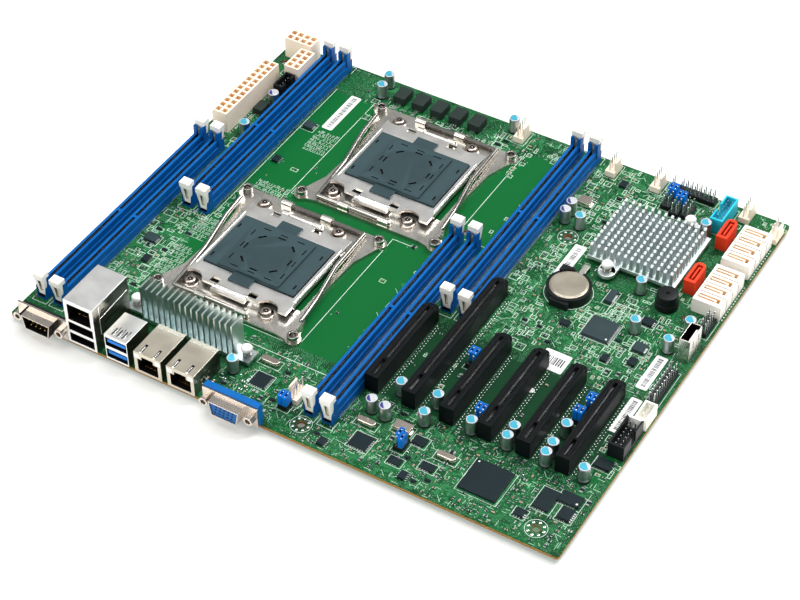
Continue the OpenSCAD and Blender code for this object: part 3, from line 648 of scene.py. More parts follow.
# painted shade: black on the inside of the upright jack, except one small white face
def upright_opening(p, n, box):
    if not inside(p, box, 0.3) or p.z > box[1].z - 0.3:
        return 0
    return 2 if 299.9 < p.x < 301.3 and abs(p.z - 12) < 0.1 else 1


def header_tone(p, n, box):
    return (1, 0, 1, 2)[HEADERS.index(box)]


def fan_pins(p, n, box):
    return p.z >= 3.45 and (inside(p, box, 1.2) or p.z > 9.1)


def chip_tone(p, n, box):
    if box[1].z > 2.9:
        return 2
    return box[1].z > 1.9 or 14 < box[1].x - box[0].x < 15


def dress_nodes():
    """Gives every CAD node that stays its looks."""
    for node, (look, bevel) in PLAIN_NODES.items():
        dress(node, [look], bevel)
    for side in "ab":
        dress("load_plate_" + side, ["plate_nickel"], 0.25)
        dress("lever_left_" + side, ["wire_steel"], 0)
        dress("lever_right_" + side, ["wire_steel"], 0)
        dress("cover_" + side, ["slate", "recess_shade_black"], 0.12, cover_cuts)
    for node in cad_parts:
        if node.startswith("latch_"):
            dress(node, ["cream", "groove_shadow_tan", "rib_tan"], 0.2, latch_groove)
    dress("dimm_sockets", ["blue", "recess_shade_black"], 0.18, memory_slit)
    for node in ("slots_short", "slot_long"):
        dress(node, ["slot_black", "recess_shade_black"], 0.3, card_slit)
    for node in POWER_NODES:
        dress(node, ["connector_cream", "well_shade_tan"], 0.2, power_well, merge=False)
    dress("lan_usb_stack", ["port_steel", "recess_shade_black", "side_shade_steel"], 0.2, jack_opening)
    dress("lan_ports", ["lan_steel", "recess_shade_black", "side_shade_steel"], 0.2, jack_opening)
    dress("usb3_stack", ["port_steel", "recess_shade_black", "usb_blue", "side_shade_steel"], 0.2, usb_openings)
    dress("serial_shell", ["pink_nickel", "recess_shade_black"], 0.3, serial_opening)
    dress("usb_upright", ["usb_steel", "recess_shade_black", "white"], 0.2, upright_opening)
    dress("sata_white", ["sata_ivory", "well_shade_tan"], 0.2, data_well(1.2))
    dress("sata_orange", ["orange", "well_shade_orange"], 0.3, data_well(0.7))
    dress("shrouded_headers", ["cyan", "black", "cream"], 0.15, header_tone)
    dress("pin_headers", ["black", "solder"], 0.06, lambda p, n, box: p.z > 2.55)
    dress("fan_headers", ["connector_cream", "solder"], 0.1, fan_pins)
    dress("chips", ["chip_black", "chip_grey", "crystal_can"], 0.12, chip_tone)
    dress("pcb", ["solder_mask", "copper"], 0, lambda p, n, box: abs(n.z) < 0.5 and inside(p, box, 2.6))


# ---------------------------------------------------------------- replaced nodes

# places of the cans whose printed sector is violet
VIOLET_CANS = [(187.9, 34.3), (195.6, 33.5), (203.5, 205.6), (203.5, 198.5), (22.3, 202.6)]


def capacitor_cans():
    """Turned cans with a crimped neck, a recessed top and a printed sector."""
    shape = Shape()
    for box in solid_boxes("capacitors"):
        c = middle(box)
        r = (box[1].x - box[0].x) / 2 - 0.35
        h = box[1].z
        foot = [(r - 0.1, 0.02, 1), (r + 0.15, 0.1, 1), (r + 0.15, 0.45, 1), (r - 0.3, 0.6, 1)]
        shape.lathe(c.x, c.y, foot, 28)
        neck = [(r - 0.25, 0.5), (r - 0.05, 0.8), (r - 0.05, 1.3), (r - 0.35, 1.6), (r - 0.35, 1.9)]
        side = [(r - 0.05, 2.2), (r - 0.05, h - 0.5)]
        rim = [(r - 0.25, h - 0.12, 2), (r - 0.5, h, 2), (r - 0.62, h - 0.1, 2)]
        shape.lathe(c.x, c.y, neck + side + rim, 28)
        violet = any((c.xy - Vector(v)).length < 2 for v in VIOLET_CANS)
        spread = math.radians(70 if violet else 118)
        arc = run(math.radians(-140) - spread, spread / 6, 13)
        outline = [(c.x + (r - 0.66) * math.cos(a), c.y + (r - 0.66) * math.sin(a)) for a in arc]
        shape.prism(outline, h - 0.12, h - 0.05, 4 if violet else 3)
    looks = ["can_metal", "black", "can_silver", "can_cyan", "can_violet"]
    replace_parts(shape.piece("capacitor_cans", looks, smooth=True), "capacitors")


def pin_fin_block():
    """Cast base with rows of pins whose tops slope, and an ear at each of two corners."""
    lo, hi = node_box("pin_heatsink")
    ear = 4.6
    first = Vector((lo.x, 177.6))
    block = Vector((48.5, 42.6))
    columns, rows = 13, 12
    base_z, floor_z = 2.2, 4.2
    gap, taper, slope = 1.5, 0.32, 1.1
    shape = Shape()
    shape.box(first.x, first.y, base_z, block.x, block.y, floor_z - base_z, 1)
    shape.box(first.x + 12, first.y + 9, 0.1, 25, 25, base_z)
    step_x, step_y = (block.x - 1) / columns, (block.y - 1) / rows
    for i in range(columns):
        for j in range(rows):
            x = first.x + 0.5 + i * step_x + 0.35 * (i > 0)
            y = first.y + 0.5 + j * step_y + 0.2 * (j > 0)
            ends = []
            for z, drop, t in ((floor_z - 0.1, 0, 0), (hi.z, slope, taper)):
                left, right = x + t, x + step_x - gap - t
                near, far = y + t, y + step_y - gap - t
                low = z - drop
                ends.append([(left, near, low), (right, near, low), (right, far, z), (left, far, z)])
            # painted shade: pin sides take the darker copy, tops the lighter one
            shape.skin(ends, [1, 0])
    for x, y, edge in ((240.8, 172.2, first.y), (262.2, 223.5, first.y + block.y)):
        disc = [(ear - 0.2, base_z), (ear, base_z + 0.2), (ear, floor_z - 0.2), (ear - 0.2, floor_z)]
        shape.lathe(x, y, disc, 32)
        shape.box(x - ear, min(y, edge), base_z, 2 * ear, abs(edge - y), floor_z - base_z)
    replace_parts(shape.piece("pin_fin_block", ["aluminium", "pin_flank_shade"], bevel=0.18), "pin_heatsink")


def spring_pins():
    """Plastic push pins with a domed head and a coil spring under it."""
    heads = Shape()
    coils = Shape()
    turns, steps = 3.5, 44
    for lo, hi in solid_boxes("push_pins"):
        x, y, top = (lo.x + hi.x) / 2, (lo.y + hi.y) / 2, hi.z
        seat = top - 5.9
        stem = [(0.9, lo.z), (1.45, lo.z + 0.8), (1.45, -1.6), (1.3, seat), (1.3, seat + 3)]
        dome = [(2.5, seat + 3.1), (2.85, seat + 3.6), (2.85, top - 1.1), (2.3, top - 0.4)]
        dimple = [(1.3, top - 0.05), (0.6, top - 0.3)]
        heads.lathe(x, y, stem + dome + dimple)
        coil = []
        for k in range(steps + 1):
            a = 2 * math.pi * turns * k / steps
            coil.append((x + 2.05 * math.cos(a), y + 2.05 * math.sin(a), seat + 0.25 + 2.6 * k / steps))
        coils.tube(coil, 0.25, 6)
    coils.piece("push_pin_springs", ["wire_steel"], smooth=True)
    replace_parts(heads.piece("push_pin_heads", ["white"], smooth=True), "push_pins")


def screw_heads():
    """Button head screws with a flange and a six-lobed recess."""
    shape = Shape()
    lobes = 6
    for lo, hi in solid_boxes("ilm_screws"):
        x, y, top = (lo.x + hi.x) / 2, (lo.y + hi.y) / 2, hi.z
        rim = (hi.x - lo.x) / 2
        shank = [(1.4, lo.z), (1.5, lo.z + 0.2), (1.5, 1.85)]
        flange = [(rim, 1.85), (rim, 2.5), (rim - 0.3, 2.8)]
        head = [(3.05, 2.9), (3.0, top - 0.9), (2.6, top - 0.3), (1.9, top - 0.05), (1.7, top - 0.05)]
        shape.lathe(x, y, shank + flange + head, 32)
        star = []
        for a in run(0, math.pi / 18, 36):
            r = 1.35 + 0.3 * math.cos(lobes * a)
            star.append((x + r * math.cos(a), y + r * math.sin(a)))
        # painted shade: the six-lobed recess is a thin black star on the head
        shape.prism(star, top - 0.1, top - 0.03, 1)
        shape.lathe(x, y, [(0.4, top - 0.1), (0.3, top)], 10)
    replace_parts(shape.piece("screw_heads", ["screw_steel", "recess_shade_black"], smooth=True), "ilm_screws")


def buzzer_case():
    """Two-tier round case with a sound hole."""
    lo, hi = node_box("buzzer")
    c = (lo + hi) / 2
    r = (hi.x - lo.x) / 2
    shape = Shape()
    skirt = [(r - 0.1, 0.05), (r, 0.3), (r, 3.6), (r - 0.3, 4.0), (r - 0.55, 4.1)]
    cap = [(r - 0.55, hi.z - 0.5), (r - 0.9, hi.z - 0.1), (1.3, hi.z)]
    # painted shade: the inside of the sound hole is black
    shape.lathe(c.x, c.y, skirt + cap + [(1.1, hi.z - 0.1, 1), (1.0, hi.z - 1.5, 1)], 40)
    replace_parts(shape.piece("buzzer_case", ["black", "recess_shade_black"], smooth=True), "buzzer")


# ---------------------------------------------------------------- added detail

# chassis holes, the ones that lie open, the bare ring kept around each, and corners of the labels
CHASSIS_HOLES = [(163.83, 10.16), (288.29, 10.16), (6.35, 165.1), (163.83, 165.1), (288.29, 165.1),
                 (6.35, 237.49), (288.29, 237.49), (210.6, 188.5)]
OPEN_HOLES = (0, 1, 7)
HOLE_RING = 5.6
LABEL_BOXES = [(54.6, 199.5, 61, 231), (216.5, 161, 223, 186), (239, 100, 253, 113), (287, 111, 293, 135.5),
               (288.8, 79.5, 294.7, 104.3)]


class Ground:
    """Half-millimetre map of where the board's top face is taken."""
    STEP = 0.5

    def __init__(self):
        self.taken = np.zeros((int(BOARD_L / self.STEP) + 2, int(BOARD_W / self.STEP) + 2), bool)
        for node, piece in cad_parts.items():
            if node in ("pcb", "ilm_backplates"):
                continue
            co = np.array([v.co for v in piece.data.vertices]).reshape(-1, 3)
            co = (co - np.array(ORIGIN)) / MM
            for poly in piece.data.polygons:
                corners = co[list(poly.vertices)]
                if corners[:, 2].min() < 5:
                    self.take(*corners[:, :2].min(0), *corners[:, :2].max(0))
        for x, y in CHASSIS_HOLES:
            self.take(x - HOLE_RING, y - HOLE_RING, x + HOLE_RING, y + HOLE_RING)
        for box in LABEL_BOXES:
            self.take(*box)

    def cells(self, x0, y0, x1, y1):
        a = max(0, int(x0 / self.STEP))
        b = max(0, int(y0 / self.STEP))
        return slice(a, max(a, int(x1 / self.STEP)) + 1), slice(b, max(b, int(y1 / self.STEP)) + 1)

    def free(self, x0, y0, x1, y1):
        if x0 < 1 or y0 < 1 or x1 > BOARD_L - 1 or y1 > BOARD_W - 1:
            return False
        return not self.taken[self.cells(x0, y0, x1, y1)].any()

    def take(self, x0, y0, x1, y1):
        self.taken[self.cells(x0, y0, x1, y1)] = True


# populated areas of the board: two corners, parts per square centimetre
BUSY_AREAS = [(18.5, 18, 43, 108, 7), (3, 160, 28, 252, 3.5), (30, 251, 76, 253, 3), (60, 228, 76, 252, 6),
              (76, 226, 136, 236, 7), (136, 214, 162, 252, 7), (162, 236, 205, 252, 5),
              (157, 58, 161, 150, 3), (199, 104, 228, 178, 9), (199, 178, 226, 252, 9),
              (226, 222, 262, 252, 6), (230, 112, 300, 150, 9), (255, 150, 296, 180, 9),
              (262, 226, 302, 252, 5), (214, 150, 246, 178, 7), (108, 2, 160, 46, 8), (56, 18, 76, 46, 4),
              (160, 1, 184, 44, 8), (184, 1, 302, 44, 9), (290, 40, 303, 100, 4), (245, 100, 300, 112, 6),
              (44, 110, 56, 140, 4), (64, 128, 80, 150, 4), (36, 2, 160, 20, 4), (185, 46, 300, 98, 0.25),
              (44, 150, 76, 232, 0.2), (162, 150, 182, 236, 0.2), (136, 60, 162, 150, 0.06)]
# chip resistors and capacitors: length, width, height, share, body paint
PART_KINDS = [(1.0, 0.5, 0.4, 0.26, 2), (1.6, 0.8, 0.5, 0.36, 0), (1.6, 0.8, 0.7, 0.12, 2),
              (2.0, 1.25, 0.8, 0.14, 1), (3.2, 1.6, 1.0, 0.05, 0), (1.6, 0.8, 0.6, 0.07, 3)]
# packages with legs: sizes, shares of all parts, and the paint number of bare metal
IC_SIZE = (4.9, 3.9)
IC_SHARE = 0.05
TRANSISTOR_SIZE = (2.9, 1.4)
TRANSISTOR_SHARE = 0.07
CAP_PAINT = 4


def calm_spot(x, y):
    """True where the board is left mostly plain between crowded patches."""
    return math.sin(0.21 * x + 1.0) * math.sin(0.17 * y + 0.4) > 0.42


def pick_kind():
    roll = rng.random()
    for kind in PART_KINDS:
        roll -= kind[3]
        if roll < 0:
            return kind
    return PART_KINDS[0]


def two_terminal(parts, x, y, kind, upright):
    """Chip resistor or capacitor: body with a metal cap at each end."""
    length, width, height, _, paint = kind
    cap = length * 0.24
    along, across = (y, x) if upright else (x, y)
    parts.lay(upright, along + cap, across, 0.02, length - 2 * cap, width, height - 0.04, paint)
    for start in (along, along + length - cap):
        parts.lay(upright, start, across - 0.03, 0, cap, width + 0.06, height, CAP_PAINT)


def small_ic(parts, x, y, upright):
    """Eight-leg package."""
    along, across = (y, x) if upright else (x, y)
    parts.box(x, y, 0.2, *(IC_SIZE[::-1] if upright else IC_SIZE), 1.3, 0, 0.94)
    for start in run(along + 0.4, LEG_PITCH, 4):
        for side in (across - 0.9, across + IC_SIZE[1]):
            parts.lay(upright, start, side, 0, 0.4, 0.9, 0.5, CAP_PAINT)


def transistor(parts, x, y):
    """Three-leg package."""
    parts.box(x, y, 0.1, *TRANSISTOR_SIZE, 1, 0, 0.92)
    for dx, dy in ((0.35, -0.6), (2.15, -0.6), (1.25, 1.4)):
        parts.box(x + dx, y + dy, 0, 0.4, 0.6, 0.3, CAP_PAINT)


def bare_pads(pads, x, y, kind, upright):
    """The two pads of a part that is not fitted."""
    length, width = kind[:2]
    along, across = (y, x) if upright else (x, y)
    for start in (along, along + 0.62 * length):
        pads.lay(upright, start, across, 0, length * 0.38, width, HAIR)


def via(pads, ground, x, y):
    """Plated hole where the board is free."""
    if ground.free(x - 0.4, y - 0.4, x + 0.4, y + 0.4):
        pads.lathe(x, y, [(0.3, 0), (0.26, 0.04)], 6)


def scatter_parts(ground):
    """Fills the busy areas with small parts, their printed outlines, ticks and plated holes."""
    parts = Shape()
    silk = Shape()
    pads = Shape()
    for x0, y0, x1, y1, density in BUSY_AREAS:
        for _ in range(int((x1 - x0) * (y1 - y0) / 100 * density * 3.2)):
            kind = pick_kind()
            upright = rng.random() < 0.5
            x = round(rng.uniform(x0, x1) * 2) / 2
            y = round(rng.uniform(y0, y1) * 2) / 2
            special = rng.random()
            is_ic = special < IC_SHARE
            is_transistor = not is_ic and special < IC_SHARE + TRANSISTOR_SHARE
            w, h = IC_SIZE if is_ic else kind[:2]
            if upright:
                w, h = h, w
            if is_transistor:
                w, h = TRANSISTOR_SIZE
            if calm_spot(x, y) or not ground.free(x - 0.6, y - 0.6, x + w + 0.6, y + h + 0.6):
                continue
            if is_ic:
                small_ic(parts, x, y, upright)
            elif is_transistor:
                transistor(parts, x, y)
            elif rng.random() < 0.2:
                bare_pads(pads, x, y, kind, upright)
            else:
                two_terminal(parts, x, y, kind, upright)
            ground.take(x - 0.4, y - 0.4, x + w + 0.4, y + h + 0.4)
            if y > 46 and rng.random() < 0.55:
                grow_x, grow_y = (0.5 + rng.choice((0, 0, 0.6, 1.2)) for _ in "xy")
                silk.ring(x - grow_x, y - grow_y, x + w + grow_x, y + h + grow_y, 0.32)
            if rng.random() < 0.6:
                tick_row(silk, ground, x, y + h + 0.6, x + w)
            if rng.random() < 0.8:
                via(pads, ground, x + rng.uniform(-2, 2 + w), y + rng.uniform(-2, 2 + h))
    parts.piece("small_parts", ["chip_black", "chip_grey", "ceramic_tan", "resistor_brown", "solder"])
    silk.piece("printed_outlines", ["silk"])
    pads.piece("plated_pads", ["solder"])


def tick_row(silk, ground, x, y, x_end):
    """Generic printed ticks beside a part."""
    while x < x_end + 0.6:
        tall = rng.choice((0.5, 0.8))
        if ground.free(x, y, x + 0.3, y + tall):
            silk.box(x, y, 0, 0.2, tall, HAIR)
            if rng.random() < 0.5:
                silk.box(x, y + tall, 0, 0.45, 0.18, HAIR)
        x += 0.62


def track_bundle(tracks, start, heading, legs, count):
    """Parallel tracks that turn together; a leg is (length, turn after it)."""
    pitch = 0.55
    point = Vector(start)
    angle = math.radians(heading)
    corners = [point.copy()]
    turns = []
    for length, turn in legs:
        point = point + Vector((math.cos(angle), math.sin(angle))) * length
        corners.append(point.copy())
        turns.append(angle)
        angle += math.radians(turn)
    for shift in run(-count / 2 * pitch, pitch, count):
        line = []
        for c, a, b in zip(corners, turns[:1] + turns, turns + turns[-1:]):
            mean = (a + b) / 2
            reach = shift / max(0.3, math.cos((a - b) / 2))
            line.append((c.x - math.sin(mean) * reach, c.y + math.cos(mean) * reach))
        for p, q in zip(line, line[1:]):
            tracks.bar(p, q, 0.2, FILM)


# runs of bundles: how many, first start, step, shift of odd ones, heading, legs, tracks in each
TRACK_RUNS = [(7, (20.5, 30), (0, 11), 0, 0, [(6, 45), (5, -45), (12, 0)], 7),
              (5, (206, 118), (3, 12), 0, 90, [(7, -45), (6, 45), (9, 0)], 6),
              (6, (190, 6), (18, 0), 3, 0, [(7, 45), (5, -45), (5, 0)], 6),
              (4, (243, 106), (6, 0), 0, 90, [(5, -45), (4, 45), (6, 0)], 5),
              (3, (142, 214), (6, 0), 0, 90, [(8, 45), (4, -45), (9, 0)], 6),
              (3, (116, 40), (16, 0), 0, 180, [(5, -45), (6, 45), (4, 0)], 6)]


def board_tracks():
    """Copper tracks under the lacquer where they stand out."""
    tracks = Shape()
    for bundles, (x, y), (dx, dy), odd, heading, legs, count in TRACK_RUNS:
        for k in range(bundles):
            track_bundle(tracks, (x + dx * k, y + dy * k + odd * (k % 2)), heading, legs, count)
    tracks.piece("board_tracks", ["track_green"])


def fine_print(ground):
    """Short printed strokes and lacquered track ends between the small parts."""
    silk = Shape()
    tracks = Shape()
    for x0, y0, x1, y1, density in BUSY_AREAS:
        if density < 3:
            continue
        for _ in range(int((x1 - x0) * (y1 - y0) / 100 * density * 4.5)):
            x, y = rng.uniform(x0, x1), rng.uniform(y0, y1)
            if calm_spot(x, y) and rng.random() < 0.6:
                continue
            reach = rng.uniform(0.8, 4.4)
            angle = math.radians(45 * rng.choice((0, 0, 2, 2, 2, 1, 3)))
            dx, dy = math.cos(angle), math.sin(angle)
            end_x, end_y = x + dx * reach, y + dy * reach
            if not ground.free(min(x, end_x), min(y, end_y), max(x, end_x), max(y, end_y)):
                continue
            if rng.random() < 0.45:
                silk.bar((x, y), (end_x, end_y), 0.2)
                continue
            for slide in run(0, 0.5, rng.choice((1, 2, 3, 4))):
                side_x, side_y = -dy * slide, dx * slide
                tracks.bar((x + side_x, y + side_y), (end_x + side_x, end_y + side_y), 0.24, FILM)
    silk.piece("printed_strokes", ["silk"])
    tracks.piece("track_ends", ["track_green"])


PRINTED_GRIDS = [(42, 62, 52, 84), (41, 92, 52, 108), (55, 180, 68, 196), (50, 138, 66, 148),
                 (45, 50, 52, 58)]
LONG_LINES = [((134.5, 55), (134.5, 142)), ((44.5, 112), (44.5, 232)), ((69, 146), (69, 231)),
              ((160.5, 146), (160.5, 236)), ((44.5, 112), (52, 112)), ((52, 52), (134.5, 52)),
              ((134.5, 142), (146, 142)), ((108, 43), (160, 43)), ((160, 43), (160, 18))]


def printed_grids(silk):
    """Blocks of printed ticks in ruled rows on the open board areas."""
    for x0, y0, x1, y1 in PRINTED_GRIDS:
        y = y0
        while y < y1:
            silk.bar((x0, y - 0.5), (x1, y - 0.5), 0.14)
            x = x0
            while x < x1:
                if rng.random() < 0.8:
                    silk.box(x, y, 0, 0.2, rng.choice((1.0, 1.5)), HAIR)
                x += rng.choice((0.7, 0.7, 1.4))
            y += 2.6


def printed_lines():
    """Long printed lines, and outlines around sockets, chips, headers and the cell."""
    silk = Shape()
    for p, q in LONG_LINES:
        silk.bar(p, q, 0.28)
    for lo, hi in DIMMS:
        left, right = lo.x - 1.3, hi.x + 1.3
        for y, reach in ((lo.y - 2.6, 6), (hi.y + 2.2, -6)):
            silk.bar((left, y), (right, y), 0.25)
            silk.bar((right, y), (right, y + reach), 0.25)
            silk.bar((left, y), (left, y + reach), 0.25)
    printed_grids(silk)
    cell = middle(node_box("coin_cell"))
    silk.annulus(cell.x, cell.y, 12.2, 12.5, steps=48)
    left, near, right, far = 252, 148, 262, 158
    silk.ring(left, near, right, far, 0.3)
    for x in run(left + 2.4, 4, 2):
        for y in run(near + 0.9, 2.3, 4):
            silk.ring(x, y, x + 1.5, y + 1.5, 0.25)
    for node in ("chips", "crystals", "shrouded_headers", "fan_headers", "pin_headers"):
        for lo, hi in solid_boxes(node):
            if lo.x > 1.5 and hi.x < BOARD_L - 1.5 and lo.y > 1.5 and hi.y < BOARD_W - 1.5:
                silk.ring(lo.x - 1.1, lo.y - 1.1, hi.x + 1.1, hi.y + 1.1, 0.2)
    silk.piece("printed_lines", ["silk_white"])


def hole_pads():
    """Plated ring and eight pads around the open chassis holes."""
    rings = Shape()
    for x, y in (CHASSIS_HOLES[k] for k in OPEN_HOLES):
        rings.annulus(x, y, 2.0, 2.35, 0.05, paint=1)
        for px, py in circle(x, y, 3.9, 8):
            rings.lathe(px, py, [(0.75, 0), (0.6, 0.12), (0.3, 0.18)], 12)
        rings.annulus(x, y, 5.2, 5.4, paint=2)
    rings.annulus(4, 17.5, 1.2, 1.9, 0.05, 20, 1)
    rings.piece("hole_pads", ["solder", "copper", "silk_white"])


def memory_row(lo, hi):
    """Places along a memory socket where contacts sit."""
    return run(lo.y + 6, MEMORY_PITCH, int((hi.y - lo.y - 12) / MEMORY_PITCH))


def solder_rows():
    """Solder joints and contact tails beside the card, memory, power and data sockets."""
    dots = Shape()
    tails = Shape()
    for lo, hi in SLOTS:
        for k in range(int(hi.y - lo.y - 6)):
            row_x = 1.0 + 1.3 * (k % 2)
            dots.lathe(hi.x + row_x, lo.y + 2 + k, [(0.36, 0), (0.3, 0.1), (0.16, 0.16)], 7)
    for lo, hi in DIMMS:
        for y in memory_row(lo, hi):
            for x in (lo.x - 0.55, hi.x + 0.05):
                tails.box(x, y, 0, 0.5, 0.34, 0.25)
    for node in (*POWER_NODES, "sata_white"):
        for lo, hi in solid_boxes(node):
            if hi.x + 1.2 < BOARD_L:
                for y in run(lo.y + 1.4, 2.2, int((hi.y - lo.y) / 2.2)):
                    dots.lathe(hi.x + 0.9, y, [(0.5, 0), (0.3, 0.2)], 8)
    dots.piece("solder_joints", ["solder"])
    tails.piece("memory_tails", ["solder"])


def contacts():
    """Contact springs inside the memory and card slots, power sockets and data ports."""
    springs = Shape()
    for lo, hi in DIMMS:
        x = (lo.x + hi.x) / 2
        for y in memory_row(lo, hi):
            for side in (-0.76, 0.56):
                springs.box(x + side, y, 3.2, 0.2, 0.4, 4.2)
    for lo, hi in SLOTS:
        x = (lo.x + hi.x) / 2
        for y in run(lo.y + 2.4, 1, int(hi.y - lo.y - 8)):
            if abs(y - lo.y - 13.8) > 1.2:
                for side in (-0.87, 0.57):
                    springs.box(x + side, y, 4, 0.3, 0.55, hi.z - 6.5)
    for node in POWER_NODES:
        for lo, hi in solid_boxes(node):
            columns, rows = (round((hi[axis] - lo[axis]) / POWER_PITCH) for axis in (0, 1))
            for x in run(hi.x - columns * POWER_PITCH + 1.1, POWER_PITCH, columns):
                for y in run(lo.y + 1.9, POWER_PITCH, rows):
                    springs.box(x, y, 2.5, 1.2, 1.2, 6, 0, 0.7)
    for lo, hi in solid_boxes("sata_white"):
        for y in run(lo.y + 3.48, PORT_PITCH, 4):
            for x in run(290.4, 1.1, 7):
                springs.box(x, y, 2.4, 0.5, 0.3, 5.4, 1)
    for lo, hi in solid_boxes("sata_orange"):
        for y in run(lo.y + 3.4, 1.15, 7):
            springs.box((lo.x + hi.x) / 2 - 0.45, y, 2.4, 0.3, 0.5, 5.4, 1)
    springs.piece("contact_springs", ["solder", "gold"])


def port_gaps():
    """Shadow gaps and raised rims between the stacked data ports."""
    gaps = Shape()
    for lo, hi in solid_boxes("sata_white"):
        left = hi.x - 15.2
        for y in run(lo.y + 6.95, PORT_PITCH, 3):
            gaps.box(left + 0.4, y, hi.z - 0.06, 14.4, 0.45, 0.09)
            gaps.box(hi.x - 0.06, y, 0.6, 0.09, 0.45, hi.z - 0.6)
        for y in run(lo.y + 3.9, PORT_PITCH, 4):
            gaps.ring(left + 1.5, y - 2.4, hi.x - 1.2, y + 2.4, 0.3, hi.z - 0.02, 0.3, 1)
    gaps.piece("port_gaps", ["groove_shadow_tan", "sata_ivory"])


def header_pins():
    """Posts inside the shrouded headers."""
    pins = Shape()
    for box in HEADERS:
        c, size = middle(box), box[1] - box[0]
        columns = 2 if size.x > 6.5 else 1
        last = int((size.y - 3) / PIN_PITCH)
        for x in run(c.x - (columns - 1) / 2 * PIN_PITCH - 0.32, PIN_PITCH, columns):
            for y in run(c.y - last / 2 * PIN_PITCH - 0.32, PIN_PITCH, last + 1):
                pins.box(x, y, 1.6, 0.64, 0.64, 6.4, 0, 0.8)
    pins.piece("header_posts", ["solder"])


def side_slit(dark, hi, y, z, length, height):
    """Painted shade: a thin black sheet for a slit on the right side of a jack."""
    dark.box(hi.x - 0.02, y, z, 0.05, length, height)


def jack_contacts(steel, x, y, z):
    """Eight gilt contacts in a network jack."""
    for start in run(x, JACK_PITCH, 8):
        steel.box(start, y, z, 0.42, 8, 0.35, 2)


def network_jack(steel, dark, lo, hi):
    """Spring fingers, lamp windows, contacts, and slits painted as black shade, of a single jack."""
    w = hi.x - lo.x
    for x in (lo.x + w * 0.22, lo.x + w * 0.72):
        # painted shade: black sheet for the slit around a spring finger
        dark.box(x - 0.55, lo.y + 1.2, hi.z - 0.02, 1.5, 5.6, 0.04)
        steel.box(x - 0.2, lo.y + 0.4, hi.z - 0.01, 0.8, 5.2, 0.41, 0, 0.82)
    for x in (lo.x + 0.35, hi.x - 3.35):
        steel.box(x, lo.y - 0.12, 9.6, 3.0, 0.2, 2.6, 1)
    jack_contacts(steel, lo.x + w / 2 - 4.1, lo.y + 3, 2.2)
    for y in (lo.y + 5, lo.y + 9.5):
        for z in (4.5, 7.5):
            side_slit(dark, hi, y, z, 3.2, 1.0)
    steel.box(lo.x + 0.2, hi.y - 2.4, hi.z - 0.01, w - 0.4, 0.35, 0.12)


def usb_stack(steel, dark, lo, hi):
    """Slits painted as black shade and fingers on top, and the contacts on both tongues."""
    for x in run(lo.x + 3.2, 3, 3):
        # painted shade: black sheets for the slits on top
        dark.box(x, lo.y + 1.6, hi.z - 0.02, 0.55, 5.2, 0.04)
        dark.box(x + 1.5, lo.y + 3.6, hi.z - 0.02, 0.45, 4.2, 0.04)
        steel.box(x + 0.65, lo.y + 1.8, hi.z - 0.01, 0.75, 4.2, 0.23, 0, 0.8)
    for z in (5.28, 12.88):
        for x in run(lo.x + 2.6, 2.1, 5):
            steel.box(x, lo.y + 0.9, z, 0.9, 4.5, 0.12)


def combined_stack(steel, dark, lo, hi):
    """Seams painted as black shade, rib and contacts of the network jack over two data jacks."""
    for y, z, length, height in ((7, 14.2, 15, 0.5), (6.4, 22.5, 2.6, 0.9), (3, 6.5, 20, 0.45)):
        side_slit(dark, hi, lo.y + y, z, length, height)
    steel.box(hi.x - 0.05, lo.y + 4.6, 9, 0.25, 0.3, 18)
    steel.tube([(hi.x + 0.05, lo.y + 5, 19), (hi.x + 0.05, lo.y + 27, 20.5)], 0.16, 6)
    for z in (4.76, 11.96):
        for x in run(lo.x + 4.4, 2.4, 4):
            steel.box(x, lo.y + 2.3, z, 1.1, 6, 0.12)
    jack_contacts(steel, lo.x + 4.8, lo.y + 4, 17.2)
    for z in (20, 25.5):
        steel.box(lo.x + 0.5, lo.y - 0.12, z, 1.2, 0.2, 1.6, 1)


def port_details():
    """Spring fingers, lamp windows and contacts of the jacks, and black sheets of painted shade for their
    slits.
    """
    steel = Shape()
    dark = Shape()
    for box in solid_boxes("lan_ports"):
        network_jack(steel, dark, *box)
    usb_stack(steel, dark, *node_box("usb3_stack"))
    combined_stack(steel, dark, *node_box("lan_usb_stack"))
    lo, hi = node_box("usb_upright")
    for y in (lo.y + 3.4, hi.y - 3.9):
        side_slit(dark, hi, y, hi.z - 6.5, 0.6, 4.2)
    side_slit(dark, hi, lo.y + 0.6, 1.2, hi.y - lo.y - 1.2, 0.5)
    steel.piece("port_fingers", ["bright", "cream", "gold"], bevel=0.08)
    dark.piece("port_slit_shade", ["recess_shade_black"])


def connector_faces():
    """Pins of the serial port, and pin holes of the video port painted as black shade."""
    pins = Shape()
    pitch = 2.77
    for count, z in ((5, 7.8), (4, 5.0)):
        for x in run(SERIAL.x - (count - 1) / 2 * pitch, pitch, count):
            pins.lathe(x, 0, [(0.4, 0.5), (0.4, 4.6), (0.2, 5)], 10, z)
    pins.piece("serial_pins", ["gold"], smooth=True)
    holes = Shape()
    lo, hi = node_box("vga_body")
    for j in (-1, 0, 1):
        for x in run((lo.x + hi.x) / 2 + j * 0.5 - 4.6, 2.3, 5):
            holes.lathe(x, lo.y, [(0.5, -0.3), (0.5, 0.04)], 12, 6.4 + 2 * j)
    holes.piece("video_hole_shade", ["recess_shade_black"])


def pack_legs(legs, lo, hi, upright, pitch):
    """Legs along two opposite sides of a flat pack."""
    along, across = (1, 0) if upright else (0, 1)
    for start in run(lo[along] + 0.5, pitch, int((hi[along] - lo[along] - 0.6) / pitch)):
        for side in (lo[across] - 0.75, hi[across] - 0.15):
            legs.lay(upright, start, side, 0, pitch * 0.5, 0.9, 0.4)


